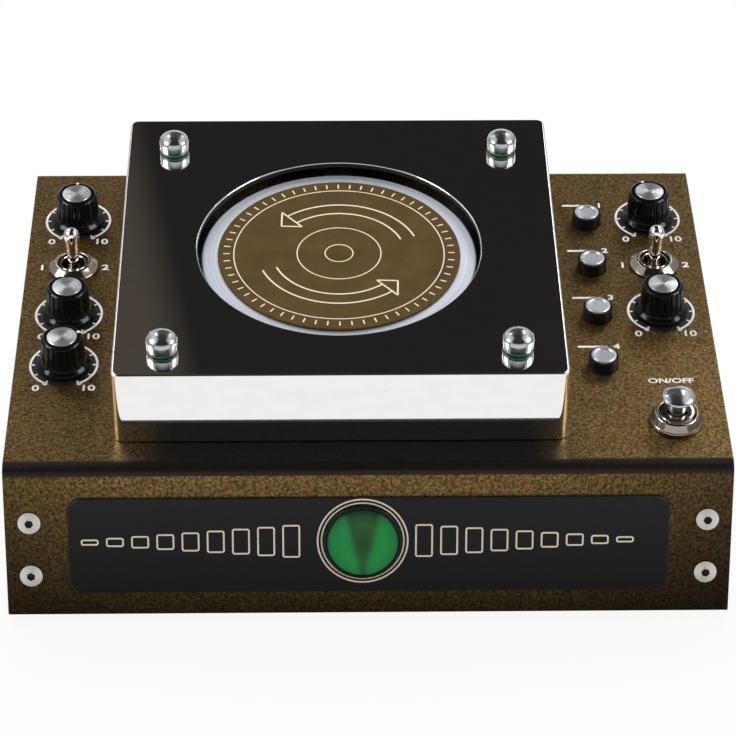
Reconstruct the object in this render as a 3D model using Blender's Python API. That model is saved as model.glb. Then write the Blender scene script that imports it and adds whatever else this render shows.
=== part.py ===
"""Delay pedal: a wedge case of folded sheet with a magnetic drum under a polished cover.

Metres, +Z up, front towards -Y, origin on the floor at the middle of the bounding box.
Pieces on the sloping control panel are placed in the panel's own axes: X across,
Y up the slope from the front bend's sharp corner, Z out of the panel.
"""

import math

import bmesh
import bpy
from mathutils import Matrix

# Clearances
GAP = 0.0003
OVERRUN = 0.002

# Case: one sheet folded into front, sloping panel and back
CASE_WIDTH = 0.240
FRONT_HEIGHT = 0.0529
PANEL_LENGTH = 0.1652
PANEL_SLOPE = math.radians(18.8)
SHEET = 0.002
FRONT_BEND_RADIUS = 0.0045
BACK_BEND_RADIUS = 0.0025
BEND_STEPS = 10

# End plates and base plate
END_FLANGE = 0.015
BASE_SHEET = 0.0015

# Rubber feet, pushed into the base plate
FOOT_HEIGHT = 0.003
FOOT_RADIUS = 0.007
FOOT_TOE_RADIUS = 0.006
FOOT_PLUG_RADIUS = 0.002
FOOT_BARB_RADIUS = 0.0028
FOOT_BARB_HEIGHT = 0.0015
FOOT_INSET_X = 0.020
FOOT_INSET_Y = 0.017

# Button-head screws through the front face into the end plates
SCREW_RADIUS = 0.00185
SCREW_HEAD_RADIUS = 0.00375
SCREW_HEAD_HEIGHT = 0.0022
SCREW_SOCKET_RADIUS = 0.00135
SCREW_SOCKET_DEPTH = 0.0013
SCREW_TIP = 0.003
SCREW_INSET = 0.0082
SCREW_LOWER_HEIGHT = 0.0144
SCREW_UPPER_HEIGHT = 0.0334

# Name plate on the front face
NAME_PLATE_INSET = 0.0209
NAME_PLATE_HEIGHT = 0.03365
NAME_PLATE_CENTRE_HEIGHT = 0.0252
NAME_PLATE_CORNER = 0.0043
NAME_PLATE_THICKNESS = 0.001
CORNER_STEPS = 5

# Level lamp in the name plate
LAMP_X = -0.00205
LAMP_HEIGHT = 0.0268
LAMP_LENS_RADIUS = 0.01175
LAMP_LENS_EDGE = 0.0005
LAMP_LENS_RISE = 0.0009
LAMP_RIM_RADIUS = 0.013
LAMP_RIM_THICKNESS = 0.0014
LAMP_SEAT_THICKNESS = 0.0006
LAMP_TUBE_RADIUS = 0.0116
LAMP_BORE_RADIUS = 0.0102
LAMP_TUBE_DEPTH = 0.020
LAMP_BOARD_THICKNESS = 0.0016

# Polished cover between the two columns of controls
LEFT_COLUMN_SHARE = 0.15021
RIGHT_COLUMN_SHARE = 0.22646
COVER_FRONT_Y = 0.0127
COVER_BACK_MARGIN = 0.0079
COVER_HEIGHT = 0.0284
COVER_SHEET = 0.002
COVER_FILLET = 0.003
WINDOW_GAP = 0.0014
WINDOW_CHAMFER = 0.0007

# Drum, seen through the cover's window. Its radius is a share of the cover's shorter side.
DRUM_BACK_SHARE = 0.47925
DRUM_RADIUS_SHARE = 0.32642
DRUM_TOP = 0.0240
DRUM_DEPTH = 0.0160
DRUM_WEB = 0.003
DRUM_RIM_WIDTH = 0.0047
DRUM_CHAMFER = 0.0006
DRUM_HUB_RADIUS = 0.008
LABEL_SHARE = 0.8814
LABEL_THICKNESS = 0.0008
SPINDLE_RADIUS = 0.003
SPINDLE_BITE = 0.0006
SPINDLE_TAIL = 0.002
CLIP_RADIUS = 0.0046
CLIP_THICKNESS = 0.001

# Deck plate on the panel, under the cover
DECK_THICKNESS = 0.003
BOSS_RADIUS = 0.009
BOSS_TOP = 0.0094
BOSS_TAIL_RADIUS = 0.007
BOSS_TAIL_DEPTH = 0.010

# Studs and thumb nuts that hold the cover
STUD_INSET_SIDE = 0.0165
STUD_INSET_FRONT = 0.0131
STUD_INSET_BACK = 0.0191
STUD_LAND = 0.0068
STUD_RADIUS = 0.002
STUD_SHOULDER_RADIUS = 0.0035
STUD_PROUD = 0.005
NUT_RADIUS = 0.0052
NUT_HEIGHT = 0.0074
NUT_DOME_RISE = 0.0008
NUT_DOME_RADIUS = 0.0044
NUT_SHOULDER = 0.0010
NUT_WASHER_THICKNESS = 0.0015
NUT_WASHER_RADIUS = 0.0050
NUT_ROOF = 0.0018

# Motor and the rubber-tyred wheel that drives the drum's inner wall
WHEEL_SHARE = 0.212
WHEEL_LOW = 0.0115
WHEEL_HIGH = 0.0175
WHEEL_HUB_RADIUS = 0.0035
WHEEL_CHAMFER = 0.0008
MOTOR_SHAFT_RADIUS = 0.0015
MOTOR_SHAFT_TAIL = 0.012
MOTOR_SHARE = 0.45
MOTOR_LENGTH = 0.022
MOTOR_CHAMFER = 0.0012
MOTOR_BOSS_RADIUS = 0.004

# Tape heads round the drum
HEAD_RADIAL = 0.010
HEAD_WIDTH = 0.010
ERASE_HEAD_WIDTH = 0.008
HEAD_TOP = 0.020
HEAD_LOW = 0.0095
HEAD_NECK_SET_BACK = 0.004
HEAD_FOOT_SET_BACK = 0.0025
HEAD_FOOT_REACH = 0.0035
HEAD_FOOT_THICKNESS = 0.0015
HEAD_ANGLES_DEG = {
    "erase_head": 262,
    "record_head": 228,
    "playback_head_1": 180,
    "playback_head_2": 135,
    "playback_head_3": 90,
    "playback_head_4": 45,
}

# Knobs and potentiometers. Rows of controls are placed by their share of the panel's length.
CONTROL_INSET = 0.0169
REAR_KNOB_SHARE = 0.8142
MIDDLE_KNOB_SHARE = 0.4873
FRONT_KNOB_SHARE = 0.3202
KNOB_SKIRT_RADIUS = 0.0092
KNOB_SKIRT_LOW = 0.0006
KNOB_SKIRT_THICKNESS = 0.0010
KNOB_SKIRT_RISE = 0.0012
KNOB_RADIUS = 0.0078
KNOB_TOP_RADIUS = 0.0072
KNOB_SHOULDER_HEIGHT = 0.0108
KNOB_DISC_RADIUS = 0.0052
KNOB_HEIGHT = 0.0124
KNOB_FLUTES = 10
KNOB_FLUTE_DEPTH = 0.0006
KNOB_RECESS_RADIUS = 0.0066
KNOB_RECESS_HEIGHT = 0.0040
KNOB_SHAFT_RADIUS = 0.003
KNOB_SHAFT_DEPTH = 0.009
POT_BODY_RADIUS = 0.0085
POT_BODY_DEPTH = 0.009
POT_BUSH_RADIUS = 0.00475
POT_BUSH_HIGH = 0.0034
POT_NUT_RADIUS = 0.0060
POT_NUT_THICKNESS = 0.002

# Toggle switches
TOGGLE_SHARE = 0.6471
TOGGLE_PIVOT_DEPTH = 0.0025
TOGGLE_BALL_RADIUS = 0.0037
TOGGLE_NECK_RADIUS = 0.0020
TOGGLE_TIP_RADIUS = 0.00275
TOGGLE_NECK_HIGH = 0.0025
TOGGLE_TIP_HIGH = 0.0172
TOGGLE_BUSH_RADIUS = 0.0050
TOGGLE_BUSH_HIGH = 0.0026
TOGGLE_BODY_WIDTH = 0.013
TOGGLE_BODY_LENGTH = 0.018
TOGGLE_BODY_DEPTH = 0.013
TOGGLE_NUT_RADIUS = 0.0087
TOGGLE_NUT_EDGE = 0.0008
TOGGLE_NUT_TOP_RADIUS = 0.0059
TOGGLE_NUT_HEIGHT = 0.0031

# Push switches on one board
BUTTON_INSET = 0.03925
BUTTON_REAR_SHARE = 0.8015
BUTTON_PITCH_SHARE = 0.1640
BUTTON_COUNT = 4
BUTTON_RADIUS = 0.00425
BUTTON_TOP = 0.0050
BUTTON_THICKNESS = 0.0016
BUTTON_DISH_RADIUS = 0.0033
BUTTON_DISH_DEPTH = 0.0004
BUTTON_STEM_RADIUS = 0.0020
BUTTON_STEM_DEPTH = 0.004
BUTTON_TRAVEL = 0.0015
COLLAR_RADIUS = 0.0051
COLLAR_HIGH = 0.0042
COLLAR_CHAMFER = 0.0003
SWITCH_BODY_SIDE = 0.012
SWITCH_BODY_DEPTH = 0.0095
SWITCH_BOARD_WIDTH = 0.018
SWITCH_BOARD_MARGIN = 0.010
BOARD_THICKNESS = 0.0016

# Footswitch
FOOTSWITCH_INSET = 0.0172
FOOTSWITCH_SHARE = 0.1314
FOOTSWITCH_CAP_RADIUS = 0.0056
FOOTSWITCH_CAP_LOW = 0.0103
FOOTSWITCH_CAP_EDGE = 0.0008
FOOTSWITCH_CAP_RISE = 0.0018
FOOTSWITCH_STEM_RADIUS = 0.0030
FOOTSWITCH_STEM_DEPTH = 0.008
FOOTSWITCH_TRAVEL = 0.004
FOOTSWITCH_BUSH_RADIUS = 0.0059
FOOTSWITCH_BUSH_HIGH = 0.0048
FOOTSWITCH_BODY_SIDE = 0.017
FOOTSWITCH_BODY_DEPTH = 0.018
FOOTSWITCH_NUT_RADIUS = 0.0089
FOOTSWITCH_NUT_EDGE = 0.0014
FOOTSWITCH_NUT_TOP_RADIUS = 0.0072
FOOTSWITCH_NUT_HEIGHT = 0.0044

# Sockets in the back
SOCKET_HEIGHT = 0.045
SOCKET_INSET = 0.060
JACK_PITCH = 0.030
JACK_BORE_RADIUS = 0.0034
JACK_SLEEVE_RADIUS = 0.0052
JACK_NUT_RADIUS = 0.0072
INLET_BORE_RADIUS = 0.0032
INLET_PIN_RADIUS = 0.00105
INLET_PIN_SET_BACK = 0.001
INLET_SLEEVE_RADIUS = 0.0055
INLET_NUT_RADIUS = 0.0075
SOCKET_NUT_THICKNESS = 0.0024
SOCKET_SLEEVE_PROUD = 0.0012
SOCKET_BODY_WIDTH = 0.0155
SOCKET_BODY_HEIGHT = 0.0165
SOCKET_BODY_DEPTH = 0.022
JACK_BORE_DEPTH = 0.020
INLET_BORE_DEPTH = 0.0105

# Main circuit board on standoffs
MAIN_BOARD_SIDE_MARGIN = 0.045
MAIN_BOARD_DEPTH = 0.078
MAIN_BOARD_FRONT_Y = 0.030
MAIN_BOARD_X = -0.010
STANDOFF_HEIGHT = 0.0065
STANDOFF_RADIUS = 0.003
STANDOFF_INSET = 0.005
MODULE_HEIGHTS = (0.012, 0.009, 0.006)
MODULE_WIDTH_SHARES = (0.187, 0.267, 0.147)
MODULE_DEPTH = 0.026
MODULE_SPACING_SHARE = 0.2933

# Facets of round pieces
FINE = 64
MEDIUM = 30
COARSE = 16
DOME_STEPS = 3
BALL_STEPS = 5
FILLET_STEPS = 3

# Worked out from the sizes above
CASE_DEPTH = PANEL_LENGTH * math.cos(PANEL_SLOPE)
PANEL_UNDERSIDE = -SHEET - GAP
NAME_PLATE_FACE = GAP + NAME_PLATE_THICKNESS
LAMP_RIM_LOW = NAME_PLATE_FACE + GAP
LAMP_LENS_LOW = LAMP_RIM_LOW + LAMP_SEAT_THICKNESS + GAP
FRONT_REACH = LAMP_LENS_LOW + LAMP_LENS_EDGE + LAMP_LENS_RISE
BACK_REACH = GAP + SOCKET_NUT_THICKNESS + SOCKET_SLEEVE_PROUD
MIDDLE_Y = (CASE_DEPTH + BACK_REACH - FRONT_REACH) / 2
DECK_TOP = GAP + DECK_THICKNESS
NAME_PLATE_WIDTH = CASE_WIDTH - 2 * NAME_PLATE_INSET
COVER_WIDTH = CASE_WIDTH * (1 - LEFT_COLUMN_SHARE - RIGHT_COLUMN_SHARE)
COVER_DEPTH = PANEL_LENGTH - COVER_FRONT_Y - COVER_BACK_MARGIN
COVER_Y = COVER_FRONT_Y + COVER_DEPTH / 2
DRUM_X = CASE_WIDTH * (LEFT_COLUMN_SHARE - RIGHT_COLUMN_SHARE) / 2
DRUM_Y = COVER_FRONT_Y + COVER_DEPTH * DRUM_BACK_SHARE
DRUM_RADIUS = min(COVER_WIDTH, COVER_DEPTH) * DRUM_RADIUS_SHARE
DRUM_INNER_RADIUS = DRUM_RADIUS - DRUM_RIM_WIDTH
LABEL_RADIUS = DRUM_RADIUS * LABEL_SHARE
WINDOW_RADIUS = DRUM_RADIUS + WINDOW_GAP
WHEEL_RADIUS = DRUM_INNER_RADIUS * WHEEL_SHARE
WHEEL_OFFSET = DRUM_INNER_RADIUS - GAP - WHEEL_RADIUS
MOTOR_RADIUS = WHEEL_OFFSET * MOTOR_SHARE
CONTROL_X = CASE_WIDTH / 2 - CONTROL_INSET
BUTTON_X = CASE_WIDTH / 2 - BUTTON_INSET
FOOTSWITCH_X = CASE_WIDTH / 2 - FOOTSWITCH_INSET
REAR_KNOB_Y = PANEL_LENGTH * REAR_KNOB_SHARE
MIDDLE_KNOB_Y = PANEL_LENGTH * MIDDLE_KNOB_SHARE
FRONT_KNOB_Y = PANEL_LENGTH * FRONT_KNOB_SHARE
TOGGLE_Y = PANEL_LENGTH * TOGGLE_SHARE
BUTTON_REAR_Y = PANEL_LENGTH * BUTTON_REAR_SHARE
BUTTON_PITCH = PANEL_LENGTH * BUTTON_PITCH_SHARE
FOOTSWITCH_Y = PANEL_LENGTH * FOOTSWITCH_SHARE
SOCKET_X = CASE_WIDTH / 2 - SOCKET_INSET
MAIN_BOARD_WIDTH = CASE_WIDTH - 2 * MAIN_BOARD_SIDE_MARGIN
HUB_LOW = BOSS_TOP + GAP
HUB_BORE_TOP = DRUM_TOP - DRUM_WEB + SPINDLE_BITE
LEVER_HOLE_RADIUS = TOGGLE_BALL_RADIUS + GAP


def linear(hex_colour):
    """sRGB hex to the linear values that the shader takes."""
    channels = [int(hex_colour[k : k + 2], 16) / 255 for k in (1, 3, 5)]
    return [c / 12.92 if c <= 0.04045 else ((c + 0.055) / 1.055) ** 2.4 for c in channels]


def finish(name, hex_colour, roughness, metallic):
    material = bpy.data.materials.new(name)
    material.use_nodes = True
    shader = material.node_tree.nodes["Principled BSDF"]
    shader.inputs["Base Color"].default_value = (*linear(hex_colour), 1)
    shader.inputs["Roughness"].default_value = roughness
    shader.inputs["Metallic"].default_value = metallic
    return material


def turned(profile, segments, flutes=0):
    """Solid turned about Z. A profile point is (radius, height) or (radius, height, flute depth).

    The profile starts and ends on the axis, or is a closed outline clear of it.
    """
    bm = bmesh.new()
    rings = []
    for radius, height, *grooves in profile:
        ring = []
        for k in range(segments if radius else 1):
            angle = 2 * math.pi * k / segments
            groove = sum(grooves) * (1 - math.cos(flutes * angle)) / 2
            reach = radius - groove
            ring.append(bm.verts.new((reach * math.cos(angle), reach * math.sin(angle), height)))
        rings.append(ring)
    pairs = list(zip(rings, rings[1:]))
    if len(rings[0]) > 1:
        pairs.append((rings[-1], rings[0]))
    for upper, lower in pairs:
        for k in range(segments):
            after = k + 1
            quad = ((upper, k), (upper, after), (lower, after), (lower, k))
            corners = [ring[i % len(ring)] for ring, i in quad]
            bm.faces.new(dict.fromkeys(corners))
    bmesh.ops.recalc_face_normals(bm, faces=bm.faces)
    return bm


def rod(radius, low, high, segments=COARSE):
    return turned([(0, high), (radius, high), (radius, low), (0, low)], segments)


def dome(radius, edge_height, rise):
    """Profile points of a shallow spherical cap, from its middle to its edge."""
    sphere = (radius**2 + rise**2) / (2 * rise)
    sweep = math.asin(radius / sphere)
    points = []
    for k in range(DOME_STEPS + 1):
        angle = sweep * k / DOME_STEPS
        points.append((sphere * math.sin(angle), edge_height + rise - sphere * (1 - math.cos(angle))))
    return points


def block(width, depth, low, high, x=0, y=0):
    bm = bmesh.new()
    bmesh.ops.create_cube(bm, size=1)
    bmesh.ops.scale(bm, vec=(width, depth, high - low), verts=bm.verts)
    bmesh.ops.translate(bm, vec=(x, y, (low + high) / 2), verts=bm.verts)
    return bm


def rounded_block(width, depth, low, high, radius):
    """Block with rounded upright and top edges."""
    bm = block(width, depth, low, high)
    edges = [edge for edge in bm.edges if any(vert.co.z > low + (high - low) / 2 for vert in edge.verts)]
    bmesh.ops.bevel(bm, geom=edges, offset=radius, segments=FILLET_STEPS, profile=0.5, affect="EDGES")
    bmesh.ops.recalc_face_normals(bm, faces=bm.faces)
    return bm


def prism(outline, low, high, place):
    """Solid between two copies of an outline. place turns (u, v, along) into x, y, z."""
    bm = bmesh.new()
    ends = [[bm.verts.new(place(u, v, along)) for u, v in outline] for along in (low, high)]
    for end in ends:
        bm.faces.new(end)
    for k in range(len(outline)):
        after = (k + 1) % len(outline)
        bm.faces.new((ends[0][k], ends[0][after], ends[1][after], ends[1][k]))
    bmesh.ops.recalc_face_normals(bm, faces=bm.faces)
    return bm


def along_x(u, v, along):
    return (along, u, v)


def along_y(u, v, along):
    return (u, along, v)


def along_z(u, v, along):
    return (u, v, along)


def moved(bm, matrix):
    bmesh.ops.transform(bm, matrix=matrix, verts=bm.verts)
    return bm


def mesh_of(bm, name):
    mesh = bpy.data.meshes.new(name)
    bm.to_mesh(mesh)
    bm.free()
    return mesh


def combined(base, joined=(), cut=()):
    """The mesh left when closed shapes are united with a base, and others then cut from it."""
    shapes = [base, *joined, *cut]
    objects = []
    for shape in shapes:
        obj = bpy.data.objects.new("shape", mesh_of(shape, "shape"))
        bpy.context.scene.collection.objects.link(obj)
        objects.append(obj)
    for k, tool in enumerate(objects[1:]):
        modifier = objects[0].modifiers.new("combine", "BOOLEAN")
        modifier.operation = "UNION" if k < len(joined) else "DIFFERENCE"
        modifier.solver = "EXACT"
        modifier.object = tool
    graph = bpy.context.evaluated_depsgraph_get()
    result = bpy.data.meshes.new_from_object(objects[0].evaluated_get(graph))
    for obj in objects:
        bpy.data.objects.remove(obj)
    return result


def piece(name, shape, material, frame, location=(0, 0, 0), turn=0):
    """An object from a mesh or a bmesh, in a frame, turned about the frame's Z axis."""
    mesh = shape if isinstance(shape, bpy.types.Mesh) else mesh_of(shape, name)
    mesh.materials.clear()
    mesh.materials.append(material)
    mesh.shade_smooth()
    mesh.set_sharp_from_angle(angle=math.radians(30))
    obj = bpy.data.objects.new(name, mesh)
    bpy.context.scene.collection.objects.link(obj)
    obj.parent = frame
    obj.location = location
    obj.rotation_euler = (0, 0, turn)
    return obj


def axes(name, parent, location, rotation):
    empty = bpy.data.objects.new(name, None)
    bpy.context.scene.collection.objects.link(empty)
    empty.parent = parent
    empty.location = location
    empty.rotation_euler = rotation
    return empty


def panel_matrix():
    return Matrix.Translation((0, 0, FRONT_HEIGHT)) @ Matrix.Rotation(PANEL_SLOPE, 4, "X")


def front_matrix():
    return Matrix.Rotation(math.pi / 2, 4, "X")


def back_matrix():
    turn = Matrix.Rotation(math.pi, 4, "Z") @ Matrix.Rotation(math.pi / 2, 4, "X")
    return Matrix.Translation((0, CASE_DEPTH, 0)) @ turn


def side(name):
    return -1 if "left" in name else 1


def arc(centre_y, centre_z, radius, start, end):
    points = []
    for k in range(BEND_STEPS + 1):
        angle = start + (end - start) * k / BEND_STEPS
        points.append((centre_y + radius * math.cos(angle), centre_z + radius * math.sin(angle)))
    return points


def bend_height(depth, radius):
    """Height of a bend's centre that lies this far behind the front face."""
    return FRONT_HEIGHT + depth * math.tan(PANEL_SLOPE) - radius / math.cos(PANEL_SLOPE)


def case_section(inset):
    """Side view of the folded sheet, front to back, this far inside its outer face."""
    square_to_panel = math.pi / 2 + PANEL_SLOPE
    back_y = CASE_DEPTH - BACK_BEND_RADIUS
    front_z = bend_height(FRONT_BEND_RADIUS, FRONT_BEND_RADIUS)
    back_z = bend_height(back_y, BACK_BEND_RADIUS)
    front_bend = arc(FRONT_BEND_RADIUS, front_z, FRONT_BEND_RADIUS - inset, math.pi, square_to_panel)
    back_bend = arc(back_y, back_z, BACK_BEND_RADIUS - inset, square_to_panel, 0)
    return [(inset, 0), *front_bend, *back_bend, (CASE_DEPTH - inset, 0)]


def button_rows():
    return [BUTTON_REAR_Y - k * BUTTON_PITCH for k in range(BUTTON_COUNT)]


def knob_places():
    return {
        "left_rear": (-CONTROL_X, REAR_KNOB_Y),
        "left_middle": (-CONTROL_X, MIDDLE_KNOB_Y),
        "left_front": (-CONTROL_X, FRONT_KNOB_Y),
        "right_rear": (CONTROL_X, REAR_KNOB_Y),
        "right_middle": (CONTROL_X, MIDDLE_KNOB_Y),
    }


def toggle_places():
    return {"left": (-CONTROL_X, TOGGLE_Y), "right": (CONTROL_X, TOGGLE_Y)}


def screw_places():
    x = CASE_WIDTH / 2 - SCREW_INSET
    places = {}
    for hand in ("left", "right"):
        for level, height in (("upper", SCREW_UPPER_HEIGHT), ("lower", SCREW_LOWER_HEIGHT)):
            places[f"{hand}_{level}"] = (side(hand) * x, height)
    return places


def foot_places():
    x = CASE_WIDTH / 2 - FOOT_INSET_X
    rows = {"front": FOOT_INSET_Y, "back": CASE_DEPTH - FOOT_INSET_Y}
    return {f"{row}_{hand}": (side(hand) * x, y) for row, y in rows.items() for hand in ("left", "right")}


def stud_rows():
    """The cover studs' rows, front and back, measured from the drum's axis."""
    front = COVER_FRONT_Y + STUD_INSET_FRONT - DRUM_Y
    back = COVER_FRONT_Y + COVER_DEPTH - STUD_INSET_BACK - DRUM_Y
    return {"front": front, "back": back}


def stud_places():
    x = COVER_WIDTH / 2 - STUD_INSET_SIDE
    rows = stud_rows().items()
    return {f"{row}_{hand}": (side(hand) * x, y) for row, y in rows for hand in ("left", "right")}


def socket_places():
    """Sockets as seen from behind: X runs the other way."""
    return {
        "input_jack": (-SOCKET_X, JACK_SLEEVE_RADIUS),
        "output_jack": (JACK_PITCH - SOCKET_X, JACK_SLEEVE_RADIUS),
        "power_inlet": (SOCKET_X, INLET_SLEEVE_RADIUS),
    }


def panel_holes():
    """Every round hole through the panel, as x, y and the radius of what passes it."""
    holes = [(x, y, POT_BUSH_RADIUS) for x, y in knob_places().values()]
    holes += [(x, y, TOGGLE_BUSH_RADIUS) for x, y in toggle_places().values()]
    holes += [(BUTTON_X, y, COLLAR_RADIUS) for y in button_rows()]
    holes.append((FOOTSWITCH_X, FOOTSWITCH_Y, FOOTSWITCH_BUSH_RADIUS))
    holes.append((DRUM_X, DRUM_Y, BOSS_TAIL_RADIUS))
    holes.append((DRUM_X + WHEEL_OFFSET, DRUM_Y, MOTOR_BOSS_RADIUS))
    return holes


def hole(x, y, radius, matrix):
    """Cutter through a sheet whose outer face is the matrix's XY plane."""
    shape = rod(radius + GAP, -SHEET - OVERRUN, OVERRUN)
    return moved(shape, matrix @ Matrix.Translation((x, y, 0)))


def top_shell():
    outline = case_section(0) + case_section(SHEET)[::-1]
    sheet = prism(outline, -CASE_WIDTH / 2, CASE_WIDTH / 2, along_x)
    cuts = [hole(x, y, radius, panel_matrix()) for x, y, radius in panel_holes()]
    cuts += [hole(x, y, SCREW_RADIUS, front_matrix()) for x, y in screw_places().values()]
    cuts.append(hole(LAMP_X, LAMP_HEIGHT, LAMP_TUBE_RADIUS, front_matrix()))
    cuts += [hole(x, SOCKET_HEIGHT, radius, back_matrix()) for x, radius in socket_places().values()]
    return combined(sheet, cut=cuts)


def end_plate(hand):
    """Pressed end plate: a web flush with the case's side, and flanges along front, back and base."""
    inset = SHEET + GAP
    outer = CASE_WIDTH / 2
    inner = outer - END_FLANGE
    web = outer - SHEET
    flange_top = BASE_SHEET + GAP + SHEET
    x_low, x_high = sorted((side(hand) * inner, side(hand) * outer))
    body = prism(case_section(inset), x_low, x_high, along_x)
    width = web - inner + OVERRUN
    x = side(hand) * (web - width / 2)
    core_depth = CASE_DEPTH - 2 * (inset + SHEET)
    core_high = FRONT_HEIGHT + CASE_DEPTH
    core = block(width, core_depth, flange_top, core_high, x, CASE_DEPTH / 2)
    recess = block(width, CASE_DEPTH, -OVERRUN, BASE_SHEET + GAP, x, CASE_DEPTH / 2)
    cuts = [core, recess]
    into_flange = front_matrix() @ Matrix.Translation((0, 0, -inset))
    for name, (screw_x, height) in screw_places().items():
        if side(name) == side(hand):
            cuts.append(hole(screw_x, height, SCREW_RADIUS, into_flange))
    return combined(body, cut=cuts)


def base_plate():
    width = CASE_WIDTH - 2 * (SHEET + GAP)
    depth = CASE_DEPTH - 2 * (SHEET + GAP)
    plate = block(width, depth, 0, BASE_SHEET, 0, CASE_DEPTH / 2)
    reach = BASE_SHEET + OVERRUN
    cuts = []
    for x, y in foot_places().values():
        cutter = rod(FOOT_PLUG_RADIUS + GAP, -OVERRUN, reach, COARSE)
        cuts.append(moved(cutter, Matrix.Translation((x, y, 0))))
    return combined(plate, cut=cuts)


def foot():
    """Rubber foot whose plug snaps through the base plate. Its origin is on the plate's underside."""
    barb_low = BASE_SHEET + GAP
    profile = [
        (0, barb_low + FOOT_BARB_HEIGHT),
        (FOOT_PLUG_RADIUS, barb_low + FOOT_BARB_HEIGHT),
        (FOOT_BARB_RADIUS, barb_low),
        (FOOT_PLUG_RADIUS, barb_low),
        (FOOT_PLUG_RADIUS, -GAP),
        (FOOT_RADIUS, -GAP),
        (FOOT_TOE_RADIUS, -FOOT_HEIGHT),
        (0, -FOOT_HEIGHT),
    ]
    return turned(profile, COARSE)


def shell_screw():
    """Button-head screw with a socket. Its origin is on the sheet's outer face."""
    top = GAP + SCREW_HEAD_HEIGHT
    cap = [(r, z) for r, z in dome(SCREW_HEAD_RADIUS, GAP, SCREW_HEAD_HEIGHT) if r > SCREW_SOCKET_RADIUS]
    profile = [
        (0, top - SCREW_SOCKET_DEPTH),
        (SCREW_SOCKET_RADIUS, top - SCREW_SOCKET_DEPTH),
        (SCREW_SOCKET_RADIUS, top - GAP),
        *cap,
        (SCREW_RADIUS, GAP),
        (SCREW_RADIUS, -2 * SHEET - GAP - SCREW_TIP),
        (0, -2 * SHEET - GAP - SCREW_TIP),
    ]
    return turned(profile, COARSE)


def name_plate():
    x = NAME_PLATE_WIDTH / 2 - NAME_PLATE_CORNER
    y = NAME_PLATE_HEIGHT / 2 - NAME_PLATE_CORNER
    outline = []
    for quarter, (sx, sy) in enumerate(((1, 1), (-1, 1), (-1, -1), (1, -1))):
        for k in range(CORNER_STEPS + 1):
            angle = (quarter + k / CORNER_STEPS) * math.pi / 2
            across = sx * x + NAME_PLATE_CORNER * math.cos(angle)
            up = sy * y + NAME_PLATE_CORNER * math.sin(angle)
            outline.append((across, NAME_PLATE_CENTRE_HEIGHT + up))
    plate = prism(outline, GAP, NAME_PLATE_FACE, along_z)
    cutter = rod(LAMP_TUBE_RADIUS + GAP, -OVERRUN, NAME_PLATE_FACE + OVERRUN, MEDIUM)
    return combined(plate, cut=[moved(cutter, Matrix.Translation((LAMP_X, LAMP_HEIGHT, 0)))])


def lamp_holder():
    """Rim, seat and tube of the level lamp, closed behind by its lamp board."""
    seat = LAMP_RIM_LOW + LAMP_SEAT_THICKNESS
    rim_top = LAMP_RIM_LOW + LAMP_RIM_THICKNESS
    profile = [
        (0, LAMP_BOARD_THICKNESS - LAMP_TUBE_DEPTH),
        (LAMP_BORE_RADIUS, LAMP_BOARD_THICKNESS - LAMP_TUBE_DEPTH),
        (LAMP_BORE_RADIUS, seat),
        (LAMP_LENS_RADIUS + GAP, seat),
        (LAMP_LENS_RADIUS + GAP, rim_top),
        (LAMP_RIM_RADIUS, rim_top),
        (LAMP_RIM_RADIUS, LAMP_RIM_LOW),
        (LAMP_TUBE_RADIUS, LAMP_RIM_LOW),
        (LAMP_TUBE_RADIUS, -LAMP_TUBE_DEPTH),
        (0, -LAMP_TUBE_DEPTH),
    ]
    return turned(profile, MEDIUM)


def lamp_lens():
    edge = LAMP_LENS_LOW + LAMP_LENS_EDGE
    cap = dome(LAMP_LENS_RADIUS, edge, LAMP_LENS_RISE)
    return turned([*cap, (LAMP_LENS_RADIUS, LAMP_LENS_LOW), (0, LAMP_LENS_LOW)], MEDIUM)


def drum_cover():
    """Folded and polished box, open below, with the window over the drum and four stud holes."""
    body = rounded_block(COVER_WIDTH, COVER_DEPTH, GAP, COVER_HEIGHT, COVER_FILLET)
    ceiling = COVER_HEIGHT - COVER_SHEET
    width = COVER_WIDTH - 2 * COVER_SHEET
    depth = COVER_DEPTH - 2 * COVER_SHEET
    hollow = rounded_block(width, depth, -OVERRUN, ceiling, COVER_FILLET - COVER_SHEET)
    over_drum = Matrix.Translation((0, DRUM_Y - COVER_Y, 0))
    profile = [
        (0, COVER_HEIGHT + OVERRUN),
        (WINDOW_RADIUS + WINDOW_CHAMFER + OVERRUN, COVER_HEIGHT + OVERRUN),
        (WINDOW_RADIUS, COVER_HEIGHT - WINDOW_CHAMFER),
        (WINDOW_RADIUS, ceiling - OVERRUN),
        (0, ceiling - OVERRUN),
    ]
    cuts = [hollow, moved(turned(profile, FINE), over_drum)]
    for x, y in stud_places().values():
        cutter = rod(STUD_RADIUS + GAP, ceiling - OVERRUN, COVER_HEIGHT + OVERRUN)
        cuts.append(moved(cutter, over_drum @ Matrix.Translation((x, y, 0))))
    return combined(body, cut=cuts)


def cover_nut():
    """Domed thumb nut joined with its sealing washer. Its origin is on the cover's top face."""
    shoulder_low = NUT_HEIGHT - NUT_DOME_RISE - NUT_SHOULDER
    washer_top = GAP + NUT_WASHER_THICKNESS
    cap = dome(NUT_DOME_RADIUS, NUT_HEIGHT - NUT_DOME_RISE, NUT_DOME_RISE)
    bore = STUD_RADIUS + GAP
    profile = [
        *cap,
        (NUT_RADIUS, shoulder_low),
        (NUT_RADIUS, washer_top + GAP),
        (NUT_WASHER_RADIUS, washer_top),
        (NUT_WASHER_RADIUS, GAP),
        (bore, GAP),
        (bore, NUT_HEIGHT - NUT_ROOF),
        (0, NUT_HEIGHT - NUT_ROOF),
    ]
    return turned(profile, COARSE)


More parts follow.
